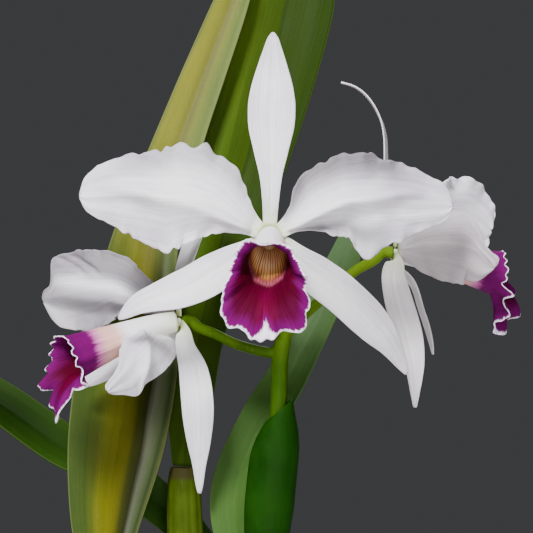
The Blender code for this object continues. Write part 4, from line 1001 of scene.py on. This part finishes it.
leftLeaf = {
    "faces": [(0, 0.1, -1, 0), (0.5, 0, -1, 0.2), (1, 0.35, -1, 0.3)], "fold": 0.22, "folds": 0.15,
    "rib": 0.5,
    "spine": [
        (-43, 8, 258), (-43, 8, 266), (-48.2, 12, 291), (-42, 20, 342), (-34.5, 30, 391), (-29.5, 35, 431),
        (-14.5, 40, 479), (-2.5, 43, 513), (13, 48, 554), (23, 53, 582),
    ],
    "widths": [
        (0, 6, 6), (0.1, 17, 17), (0.25, 26, 26), (0.31, 26.7, 26.7), (0.4, 24, 24), (0.53, 18.5, 17.5),
        (0.69, 13.5, 13), (0.8, 11.5, 11.5), (0.93, 9, 8.5), (1, 2, 2),
    ],
    "look": {
        "roughness": 0.46, "drift": 0.09, "change": (0.44, 0.61), "dots": 0.12, "rim": (0.13, 0.15, 0.05),
        # across its foot, the grey-green stripe near 0.82 to 0.88 is a painted highlight
        "low": [
            (0, (0.036, 0.06, 0.012)), (0.2, (0.038, 0.062, 0.009)), (0.3, (0.066, 0.084, 0.009)),
            (0.38, (0.1, 0.108, 0.008)), (0.5, (0.09, 0.09, 0.004)), (0.6, (0.075, 0.074, 0.004)),
            (0.68, (0.023, 0.027, 0.002)), (0.76, (0.012, 0.014, 0.003)), (0.82, (0.07, 0.075, 0.048)),
            (0.88, (0.046, 0.062, 0.026)), (0.94, (0.022, 0.036, 0.01)), (1, (0.06, 0.07, 0.02)),
        ],
        "high": [
            (0, (0.09, 0.11, 0.032)), (0.08, (0.17, 0.175, 0.025)), (0.3, (0.16, 0.165, 0.022)),
            (0.48, (0.14, 0.145, 0.032)), (0.56, (0.1, 0.1, 0.036)), (0.66, (0.125, 0.142, 0.032)),
            (0.85, (0.09, 0.13, 0.034)), (1, (0.125, 0.155, 0.045)),
        ],
    },
    "backLook": {
        "low": [(0, (0.05, 0.075, 0.02)), (1, (0.05, 0.07, 0.018))],
        "high": [(0, (0.12, 0.14, 0.03)), (1, (0.12, 0.14, 0.035))],
    },
}
makeLeaf("leftLeaf", "leaf_left", leftLeaf)

tallLeaf = {
    "faces": [(0, 0, -1, 0), (1, 0.05, -1, 0.2)], "fold": 0.09, "folds": 0.12, "rib": 0.6,
    "spine": [
        (-10.4, 28, 322), (-7.6, 32, 354), (-2.8, 38, 389), (8, 46, 434), (20, 52, 472), (31, 58, 513),
        (41, 64, 556), (51, 70, 596),
    ],
    "widths": [
        (0, 6, 6), (0.115, 11.5, 11.5), (0.24, 13, 13), (0.41, 18, 17), (0.55, 23.5, 20.5),
        (0.7, 26.5, 23.5), (0.84, 25.6, 25.1), (0.93, 18.5, 19.5), (0.98, 10, 10), (1, 3, 3),
    ],
    "look": {
        "roughness": 0.48, "drift": 0.06, "change": (0.3, 0.7), "dots": 0.06, "rim": (0.07, 0.11, 0.02),
        # its left part is painted lighter where the left leaf's shadow falls, and its right part darker where
        # light falls on the fold: painted light and shade over an even green
        "low": [
            (0, (0.03, 0.062, 0.003)), (0.46, (0.034, 0.066, 0.004)), (0.5, (0.019, 0.04, 0.002)),
            (0.54, (0.025, 0.05, 0.002)), (1, (0.016, 0.036, 0.002)),
        ],
        "high": [
            (0, (0.05, 0.095, 0.006)), (0.22, (0.055, 0.1, 0.006)), (0.3, (0.03, 0.056, 0.003)),
            (0.47, (0.024, 0.046, 0.002)), (0.5, (0.013, 0.029, 0.001)), (0.53, (0.016, 0.034, 0.001)),
            (0.8, (0.015, 0.034, 0.001)), (1, (0.012, 0.029, 0.001)),
        ],
    },
    "backLook": {
        "low": [(0, (0.05, 0.08, 0.02)), (1, (0.05, 0.08, 0.02))],
        "high": [(0, (0.055, 0.085, 0.02)), (1, (0.05, 0.08, 0.02))],
    },
}
makeLeaf("tallLeaf", "leaf_tall", tallLeaf)

rightLeaf = {
    "faces": [(0, -0.2, -1, 0), (0.4, -0.3, -1, 0.35), (1, -0.3, -1, 0.6)], "fold": 0.3, "folds": 0.1,
    "rib": 0.4,
    "spine": [
        (25, 8, 262), (25, 8, 269), (15.5, 11, 292), (16.5, 16, 316), (28, 24, 343), (40, 32, 363),
        (49.5, 40, 381), (58.5, 48, 398.5), (71, 60, 425), (81.5, 72, 455),
    ],
    "widths": [
        (0, 5), (0.12, 11), (0.25, 13.1), (0.4, 12.6), (0.55, 11.6), (0.8, 10.1), (0.93, 6.8), (1, 1.6),
    ],
    "look": {
        "roughness": 0.5, "drift": 0.08, "change": (0.45, 0.7), "dots": 0.12, "rim": (0.08, 0.13, 0.05),
        "low": [(0, (0.045, 0.1, 0.02)), (0.5, (0.042, 0.094, 0.018)), (1, (0.026, 0.066, 0.01))],
        "high": [(0, (0.075, 0.14, 0.055)), (0.5, (0.085, 0.15, 0.06)), (1, (0.06, 0.12, 0.035))],
    },
    "backLook": {
        "low": [(0, (0.05, 0.09, 0.03)), (1, (0.05, 0.09, 0.03))],
        "high": [(0, (0.07, 0.12, 0.045)), (1, (0.07, 0.12, 0.045))],
    },
}
makeLeaf("rightLeaf", "leaf_right", rightLeaf)

rearLeaf = {
    "faces": [(0, 0, -1, 0), (0.3, -0.3, -0.9, 0.5), (1, -0.3, -0.8, 0.8)], "fold": 0.35, "folds": 0.1,
    "rib": 0.4,
    "spine": [
        (4.4, 49, 263), (4.4, 49, 271), (-8, 47, 287), (-23, 44, 301), (-45, 40, 318), (-70.5, 38, 330),
        (-102.5, 38, 352), (-133, 42, 368), (-159, 48, 375),
    ],
    "widths": [(0, 5.5), (0.12, 9.5), (0.25, 11.5), (0.4, 12.6), (0.7, 12.1), (0.88, 8.8), (1, 1.6)],
    "look": {
        "roughness": 0.46, "drift": 0.08, "change": (0.4, 0.7), "dots": 0.05, "rim": (0.04, 0.08, 0.012),
        "low": [(0, (0.02, 0.055, 0.005)), (0.5, (0.012, 0.035, 0.003)), (1, (0.02, 0.055, 0.005))],
        "high": [(0, (0.008, 0.022, 0.001)), (0.5, (0.004, 0.012, 0.001)), (1, (0.012, 0.032, 0.002))],
    },
    "backLook": {
        "low": [(0, (0.035, 0.065, 0.015)), (1, (0.035, 0.065, 0.015))],
        "high": [(0, (0.03, 0.06, 0.015)), (1, (0.03, 0.06, 0.015))],
    },
}
makeLeaf("rearLeaf", "leaf_rear", rearLeaf)
print("leaves done")

# green stems: stalk and sheath

stemLook = {
    "bright": (0.085, 0.16, 0.003), "dark": (0.04, 0.1, 0.001), "deep": (0.004, 0.026, 0.001),
    "pale": (0.12, 0.2, 0.008),
}


def stemFinish(name, look, roughness=0.38):
    finish = newFinish(name, roughness, Specular_IOR_Level=0.05, Subsurface_Weight=0.05,
                       Subsurface_Scale=0.002)
    clouds, fibre = speckle(onPiece(90, 90, 60), 3), speckle(onPiece(900, 900, 40), 3)
    height = partsOf(onPiece(1))[2]
    base = colours(clouds, [(0.3, look["dark"]), (0.65, look["bright"])])
    darker = between(height, look["darkBelow"] * mm, look["brightAbove"] * mm, 0.75, 0)
    base = blend(darker, base, look.get("deep", look["dark"]))
    base = blend(between(fibre, 0.55, 0.75, 0, 0.35), base, look["pale"])
    if "paleFrom" in look:
        paler = between(height, look["paleFrom"] * mm, (look["paleFrom"] + 12) * mm, 0, 0.7)
        base = blend(paler, base, look["pale"])
    if "ring" in look:  # the brown scar under a leaf
        base = blend(between(uvParts()[1], 0.965, 0.978, 0, 0.85), base, look["ring"])
    paint(base, between(clouds, 0.3, 0.7, roughness - 0.06, roughness + 0.1))
    relief(fibre + clouds, 0.3, 0.4)
    return finish


def bendRod(name, points, radii):  # a round rod along a curve, as a mesh
    rod = newPiece(name, bpy.ops.curve.primitive_nurbs_path_add)
    rod.data.splines.clear()
    rail = smoothRail(points, 60)
    line = rod.data.splines.new("POLY")
    line.points.add(len(rail) - 1)
    for k, spot in enumerate(rail):
        line.points[k].co = (*(spot * mm), 1)
        line.points[k].radius = easeStops(radii, k / (len(rail) - 1))[0]
    rod.data.bevel_depth = mm
    rod.data.bevel_resolution = 6
    rod.data.use_fill_caps = True
    bpy.ops.object.convert(target="MESH")
    return bpy.context.object


def joinPieces(pieces):  # into the first of them
    bpy.ops.object.select_all(action="DESELECT")
    for piece in pieces:
        piece.select_set(True)
    bpy.context.view_layer.objects.active = pieces[0]
    bpy.ops.object.join()
    return bpy.context.object


def joinRods(name, rods, voxel, smoothing):  # grown together: one skin over all of them
    grown = joinPieces(rods)
    grown.name = grown.data.name = name
    skin = grown.modifiers.new("skin", "REMESH")
    skin.mode = "VOXEL"
    skin.voxel_size = voxel * mm
    soften = grown.modifiers.new("soften", "SMOOTH")
    soften.factor = 0.5
    soften.iterations = smoothing
    return grown


stalk = {
    "stem": [
        (28.5, -3, 261.6), (31, -3.5, 300), (34, -4, 330), (36.2, -4.3, 357), (37, -4.5, 379),
        (39.5, -4.5, 388),
    ],
    "front": [(38.3, -4.5, 384), (40.5, -10, 396), (39, -20, 409), (35, -32, 422)],
    "left": [(37.2, -4.5, 380.5), (30, -4.5, 379.6), (16, -4.8, 383.4), (5, -5.2, 388.6), (-2, -5.6, 391.3)],
    "right": [(39.4, -4.5, 387.6), (45.5, -4, 394.5), (53, -3, 401.5), (71, 1, 417), (82, 5, 423.5)],
    "stemRadii": [(0, 4.1), (0.8, 4), (0.95, 4.2), (1, 2.9)], "behindBloom": (7.6, 2.6),
    "pedicelRadii": [(0, 3.1), (0.12, 2.6), (0.6, 2.5), (0.9, 2.75), (1, 2.9)], "voxel": 0.5,
    "look": {**stemLook, "darkBelow": 369, "brightAbove": 391, "paleFrom": 398},
}
rods = [bendRod("stem", stalk["stem"], stalk["stemRadii"])]
for place, bloom in (("front", frontBloom), ("left", leftBloom), ("right", rightBloom)):
    centre, axis = Vector(bloom["centre"]), Vector(bloom["axis"]).normalized()
    points = [Vector(p) for p in stalk[place]] + [centre - axis * gap for gap in stalk["behindBloom"]]
    rods.append(bendRod("pedicel", points, stalk["pedicelRadii"]))
flowerStalk = joinRods("flowerStalk", rods, stalk["voxel"], 4)
finishPiece(flowerStalk, "flower_stalk", [stemFinish("stalkGreen", stalk["look"])])

# a ring of the sheath is (centre, half width, half depth)

sheath = {
    "rings": [
        ((28.6, -3, 261.6), 7, 5.6), ((29.4, -3.2, 276), 9.2, 6.2), ((30.4, -3.4, 293), 10.4, 6.6),
        ((31.6, -3.6, 308), 11.4, 6.8), ((33.6, -4, 328), 11.3, 6.6), ((35, -4.1, 338), 10, 6.2),
        ((36, -4.3, 346), 7.6, 5.8), ((36.6, -4.4, 352), 5.7, 5.6),
    ],
    "slant": 5, "keel": 0.045, "thickness": 0.8, "grid": (48, 40),
    "look": {
        "bright": (0.005, 0.036, 0.0004), "dark": (0.0025, 0.022, 0.0002), "pale": (0.01, 0.05, 0.0008),
        "darkBelow": 255, "brightAbove": 262,
    },
}
sheathPiece = newGrid("sheath", *sheath["grid"])
lastRing = len(sheath["rings"]) - 1
ringStops = [(k / lastRing, *centre, *halves) for k, (centre, *halves) in enumerate(sheath["rings"])]
margins = []
for corner in sheathPiece.data.vertices:
    angle, t = math.pi * corner.co.x, (corner.co.y + 1) / 2
    x, y, z, halfWidth, halfDepth = easeStops(ringStops, t)
    keel = 1 + sheath["keel"] * math.exp(-((abs(corner.co.x) - 1) / 0.05) ** 2)
    x -= halfWidth * math.cos(angle) * keel
    y += halfDepth * math.sin(angle)
    z -= sheath["slant"] * math.cos(angle) * t ** 4
    corner.co = Vector((x, y, z)) * mm
    margins.append(smoothStep(0.9, 1, t))
numberEach(sheathPiece, "margin", margins)
closeSeam(sheathPiece, False)
thicken(sheathPiece, sheath["thickness"], 0.6)
sheathGreen = stemFinish("sheathGreen", sheath["look"], 0.45)
finishPiece(sheathPiece, "spathe", [sheathGreen, sheathGreen])
print("stalk and sheath done")

# swollen stems under the leaves

bulbLook = {
    "bright": (0.05, 0.08, 0.004), "dark": (0.03, 0.053, 0.002), "pale": (0.085, 0.105, 0.02),
    "darkBelow": 120, "brightAbove": 180, "ring": (0.045, 0.035, 0.012),
}
bulbGreen = stemFinish("bulbGreen", bulbLook, 0.42)
bulbs = {
    "floweringBulb": {
        "node": "pseudobulb_flowering", "foot": (22, -4), "top": (28.5, 1, 262), "radius": 11.5, "tip": 10.5,
    },
    "tallBulb": {
        "node": "pseudobulb_tall", "foot": (-8, 22), "top": (-10.4, 28, 322), "radius": 9.3, "tip": 7,
    },
    "leftBulb": {
        "node": "pseudobulb_left", "foot": (-36, 4), "top": (-43, 8, 258), "radius": 11, "tip": 7.5,
    },
    "rearBulb": {
        "node": "pseudobulb_rear", "foot": (10, 56), "top": (4.4, 49, 263), "radius": 10.5, "tip": 7,
    },
}
bulbShape = {
    "footHeight": 123.3, "leafGap": 0.4, "footRadius": 5.6, "straight": 12, "bow": 1.5, "flat": 0.86,
    "grooves": 11, "depth": 0.06, "rings": (0.16, 0.36, 0.6, 0.985), "grid": (66, 80),
}
for name, bulb in bulbs.items():
    foot = Vector((*bulb["foot"], bulbShape["footHeight"]))
    top = Vector(bulb["top"]) - Vector((0, 0, bulbShape["leafGap"]))
    middle = foot.lerp(top, 0.5) + Vector((bulbShape["bow"], 0, 0))
    straight = Vector((0, 0, bulbShape["straight"]))
    rail = smoothRail([foot, foot + straight, middle, top - straight, top])
    fat, tip, thin = bulb["radius"], bulb["tip"], bulbShape["footRadius"]
    radii = [(0, thin), (0.1, thin * 0.9), (0.3, fat * 0.62), (0.6, fat * 0.94), (0.75, fat),
             (0.9, fat * 0.95), (0.965, max(fat * 0.86, tip)), (0.985, tip), (1, tip * 0.92)]
    seed = draw.uniform(0, 20)

    def furrow(angle, t):  # shallow grooves, and a slight ring where each old sheath sat
        rings = sum(math.exp(-((t - at) / 0.006) ** 2) for at in bulbShape["rings"])
        drift = 1.5 * noise.noise(Vector((t * 3, seed, 0)))
        lines = 0.5 - 0.5 * math.cos(bulbShape["grooves"] * angle + drift)
        deep = bulbShape["depth"] * lines ** 2 * smoothStep(0.03, 0.2, t) * smoothStep(1, 0.93, t)
        return 0.985 - deep + 0.03 * rings

    bulbPiece = newGrid(name, *bulbShape["grid"])
    shapeTube(bulbPiece, rail, radii, flat=bulbShape["flat"], groove=furrow)
    finishPiece(bulbPiece, bulb["node"], [bulbGreen], sharp=50)
print("swollen stems done")

# rhizome and roots

rhizome = {
    "level": 115, "collarTop": 123, "voxel": 0.7, "roots": 6, "seed": 5, "rootReach": 24,
    "rootTurns": (38, -42), "wall": 5, "wallGap": 7.2,
    "stemRadii": [(0, 3.3), (0.06, 5.4), (0.5, 5.3), (0.93, 5.4), (1, 3.3)],
    "branchRadii": [(0, 5.2), (0.85, 5.2), (1, 3.3)], "collarRadii": [(0, 6), (0.8, 6.3), (1, 5.9)],
    "rootRadii": [(0, 2), (0.5, 2.05), (0.9, 1.9), (1, 1.4)], "rootLevels": (117.5, 112, 96, 85),
    "look": {
        "roughness": 0.82, "pale": (0.56, 0.54, 0.43), "dark": (0.25, 0.2, 0.12), "green": (0.3, 0.33, 0.15),
    },
}
feet = {name: Vector((*bulb["foot"], rhizome["level"])) for name, bulb in bulbs.items()}
rear, tall, left, flowering = (feet[name + "Bulb"] for name in ("rear", "tall", "left", "flowering"))
tip = flowering + (flowering - tall).normalized() * 9
rods = [
    bendRod("rhizome", [rear + Vector((3, 8, 0)), rear, tall, flowering, tip], rhizome["stemRadii"]),
    bendRod("branch", [tall, left, left + Vector((-8, -3, 0))], rhizome["branchRadii"]),
]
for foot in feet.values():
    points = [foot - Vector((0, 0, 1)), foot + Vector((0, 0, 4)), (foot.x, foot.y, rhizome["collarTop"])]
    rods.append(bendRod("collar", points, rhizome["collarRadii"]))
print("rhizome shaped")

potWall = {"radius": 50, "widening": 21, "rimFrom": 104}


def potRadius(height):
    return potWall["radius"] + potWall["widening"] * min(height / potWall["rimFrom"], 1)


rootDraw = random.Random(rhizome["seed"])
rootStarts = [bulbs[name]["foot"] for name in ("floweringBulb", "leftBulb", "rearBulb", "tallBulb")]
limit = potRadius(100) - rhizome["wall"] - rhizome["wallGap"]
for index in range(rhizome["roots"]):
    x, y = rootStarts[index % 4]
    away = Vector((x, y, 0)).normalized()
    bend = math.radians(rhizome["rootTurns"][index // 4 % 2] + rootDraw.uniform(-8, 8))
    sine, cosine = math.sin(bend), math.cos(bend)
    away = Vector((away.x * cosine - away.y * sine, away.x * sine + away.y * cosine, 0))
    start = Vector((x, y, rhizome["level"]))
    hole = (start + away * rhizome["rootReach"] * rootDraw.uniform(0.8, 1)).xy
    if hole.length > limit:
        hole *= limit / hole.length
    middle = start.xy.lerp(hole, 0.5)
    first, *deeper = rhizome["rootLevels"]
    points = [start, (*middle, first)] + [(*hole, level) for level in deeper]
    rods.append(bendRod("root", points, rhizome["rootRadii"]))
rhizomePiece = joinRods("rhizome", rods, rhizome["voxel"], 3)

rootLook = rhizome["look"]
rootGrey = newFinish("rootGrey", rootLook["roughness"])
clouds, cracks = speckle(onPiece(120), 4), speckle(onPiece(700), 3)
base = colours(clouds, [(0.32, rootLook["dark"]), (0.48, rootLook["green"]), (0.62, rootLook["pale"])])
paint(blend(between(cracks, 0.4, 0.6, 0.35, 0), base, rootLook["dark"]))
relief(clouds + cracks, 0.7, 0.8)
finishPiece(rhizomePiece, "rhizome", [rootGrey])
print("rhizome and roots done")

# bark: a bed with many loose chips on it

bark = {
    "top": 99, "foot": 7.3, "topGap": 6, "footGap": 6.2, "insets": (0.8, 0.75, 0.66, 0.5), "bumps": 2.2,
    "chips": 230, "highest": 108.8, "chipGap": 6.5, "chipRing": 12.5, "smaller": 0.72, "seed": 21,
    "chipHalves": [(5, 11), (3.2, 6.2), (1.4, 3.2)],
    "look": {
        "roughness": 0.9, "dark": (0.05, 0.028, 0.016), "middle": (0.16, 0.085, 0.045),
        "pale": (0.34, 0.21, 0.12),
    },
}
topRadius, footRadius = potRadius(bark["top"]), potRadius(bark["foot"]) - bark["footGap"]
barkPiece = newPiece("bark", bpy.ops.mesh.primitive_cylinder_add, vertices=64, radius=footRadius * mm,
                     depth=2 * mm, location=(0, 0, (bark["foot"] + 1) * mm))
bpy.ops.object.transform_apply(location=True, rotation=True, scale=True)
openMesh("DESELECT")
bpy.ops.object.mode_set(mode="OBJECT")
for face in barkPiece.data.polygons:
    face.select = face.normal.z > 0.9
bpy.ops.object.mode_set(mode="EDIT")
rise = bark["top"] - bark["foot"] - 2
bpy.ops.mesh.extrude_region_move(TRANSFORM_OT_translate={"value": (0, 0, rise * mm)})
wider = (topRadius - bark["topGap"]) / footRadius
bpy.ops.transform.resize(value=(wider, wider, 1))
for share in bark["insets"]:
    bpy.ops.mesh.inset(thickness=0.2 * topRadius * share * mm)
bpy.ops.object.mode_set(mode="OBJECT")
for corner in barkPiece.data.vertices:
    if corner.co.z > (bark["top"] - 1) * mm and corner.co.xy.length < 58 * mm:
        corner.co.z += bark["bumps"] * mm * noise.noise(corner.co * 70)

chip = newPiece("chip", bpy.ops.mesh.primitive_cube_add, size=2)  # copied with its own mesh each time
openMesh()
bpy.ops.mesh.bevel(offset=0.28, segments=1, affect="EDGES")
bpy.ops.object.mode_set(mode="OBJECT")
chipDraw = random.Random(bark["seed"])
chips = [barkPiece]
for index in range(bark["chips"]):
    copy = chip.copy()
    copy.data = chip.data.copy()
    bpy.context.scene.collection.objects.link(copy)
    reach = (topRadius - bark["chipRing"]) * math.sqrt((index + 0.5) / bark["chips"])
    around = index * math.radians(137.508)  # each a golden angle on from the last
    half = [chipDraw.uniform(*sizes) for sizes in bark["chipHalves"]]
    half = [size * (bark["smaller"] if index % 3 else 1) for size in half]
    turned = around * 7.3
    long = Vector((math.cos(turned), math.sin(turned), chipDraw.uniform(-0.35, 0.35))).normalized()
    tilt = Vector((-long.y, long.x, chipDraw.uniform(-0.4, 0.4))).normalized()
    thick = long.cross(tilt).normalized()
    wide = thick.cross(long)
    shift = Vector((chipDraw.uniform(0, 90), 0, 0))
    spots = []
    for corner in copy.data.vertices:
        rough = 1 + 0.35 * noise.noise(corner.co * 1.7 + shift)
        x, y, z = corner.co
        spots.append(long * x * half[0] * rough + wide * y * half[1] * rough + thick * z * half[2] * rough)
    level = min(bark["top"] + 2.5, bark["highest"] - max(spot.z for spot in spots))
    widest = max(spot.xy.length for spot in spots)
    reach = min(reach, topRadius - bark["chipGap"] - widest)
    middle = Vector((reach * math.cos(around), reach * math.sin(around), level))
    for corner, spot in zip(copy.data.vertices, spots):
        corner.co = (middle + spot) * mm
    numberEach(copy, "tone", [chipDraw.random()] * len(spots))
    chips.append(copy)
numberEach(barkPiece, "tone", [0.1] * len(barkPiece.data.vertices))
bpy.data.objects.remove(chip, do_unlink=True)
joinPieces(chips)

barkLook = bark["look"]
barkBrown = newFinish("barkBrown", barkLook["roughness"])
flakes, grain = speckle(onPiece(260), 5, 0.6), speckle(onPiece(1100), 3)
chipTone = readEach("tone") * 0.45 + flakes * 0.6
paint(colours(chipTone, [(0.25, barkLook["dark"]), (0.5, barkLook["middle"]), (0.8, barkLook["pale"])]))
relief(flakes + grain * 0.4, 0.8, 1.2)
finishPiece(barkPiece, "bark", [barkBrown], sharp=35)
print("bark done")

# clay pot, extruded ring by ring from its foot; a ring is (radius, height)

pot = {
    "sides": 96, "drainRadius": 6, "drainDistance": 27, "drains": 3,
    "rings": [
        (48.5, 0), (49.6, 0.5), (50, 1.5), (60.5, 52), (71, 104), (75.2, 104), (76.1, 104.4), (76.5, 105.5),
        (77, 125), (76.7, 126.6), (75.8, 127.6), (74.2, 128), (71.8, 127.6), (71, 126.2), (70.8, 124.5),
        (66, 100), (45.2, 8), (44, 7),
    ],
    "look": {
        "roughness": 0.82, "clay": (0.56, 0.235, 0.115), "deep": (0.4, 0.15, 0.07),
        "bloom": (0.74, 0.6, 0.5),
    },
}
potPiece = newPiece("clayPot", bpy.ops.mesh.primitive_circle_add, vertices=pot["sides"],
                    radius=pot["rings"][0][0] * mm, fill_type="NGON")
openMesh()
for (radius, height), (nextRadius, nextHeight) in zip(pot["rings"], pot["rings"][1:]):
    wider = nextRadius / radius
    bpy.ops.mesh.extrude_region_move(TRANSFORM_OT_translate={"value": (0, 0, (nextHeight - height) * mm)})
    bpy.ops.transform.resize(value=(wider, wider, 1), center_override=(0, 0, nextHeight * mm))
bpy.ops.mesh.select_all(action="SELECT")
bpy.ops.mesh.normals_make_consistent(inside=False)
bpy.ops.object.mode_set(mode="OBJECT")
for index in range(pot["drains"]):
    around = math.tau * (index + 0.5) / pot["drains"]
    x, y = pot["drainDistance"] * math.cos(around), pot["drainDistance"] * math.sin(around)
    drill = newPiece("drill", bpy.ops.mesh.primitive_cylinder_add, vertices=32, depth=30 * mm,
                     radius=pot["drainRadius"] * mm, location=(x * mm, y * mm, 0))
    hole = potPiece.modifiers.new("drain", "BOOLEAN")
    hole.operation = "DIFFERENCE"
    hole.object = drill
    alone(potPiece)
    bpy.ops.object.modifier_apply(modifier="drain")
    bpy.data.objects.remove(drill, do_unlink=True)

potLook = pot["look"]
potClay = newFinish("potClay", potLook["roughness"], Specular_IOR_Level=0.3)
clouds, salt = speckle(onPiece(22), 5, 0.6), speckle(onPiece(55, 55, 18), 5, 0.65)
grit, turning = speckle(onPiece(1500), 2), speckle(onPiece(3, 3, 420), 2)
clay = colours(clouds, [(0.3, potLook["deep"]), (0.65, potLook["clay"])])
clay = blend(between(salt, 0.55, 0.72, 0, 0.55), clay, potLook["bloom"])
paint(blend(between(grit, 0.62, 0.7, 0, 0.4), clay, potLook["deep"]))
relief(turning * 0.5 + grit * 0.25, 0.4, 0.5)
finishPiece(potPiece, "pot", [potClay], sharp=30)
print("pot done")

# floor

floorPiece = newPiece("studioFloor", bpy.ops.mesh.primitive_plane_add, size=studio["floorWidth"])
floorPiece.data.materials.append(newFinish("floorPaint", 0.7))
paint(studio["floor"])

print("all pieces ready")
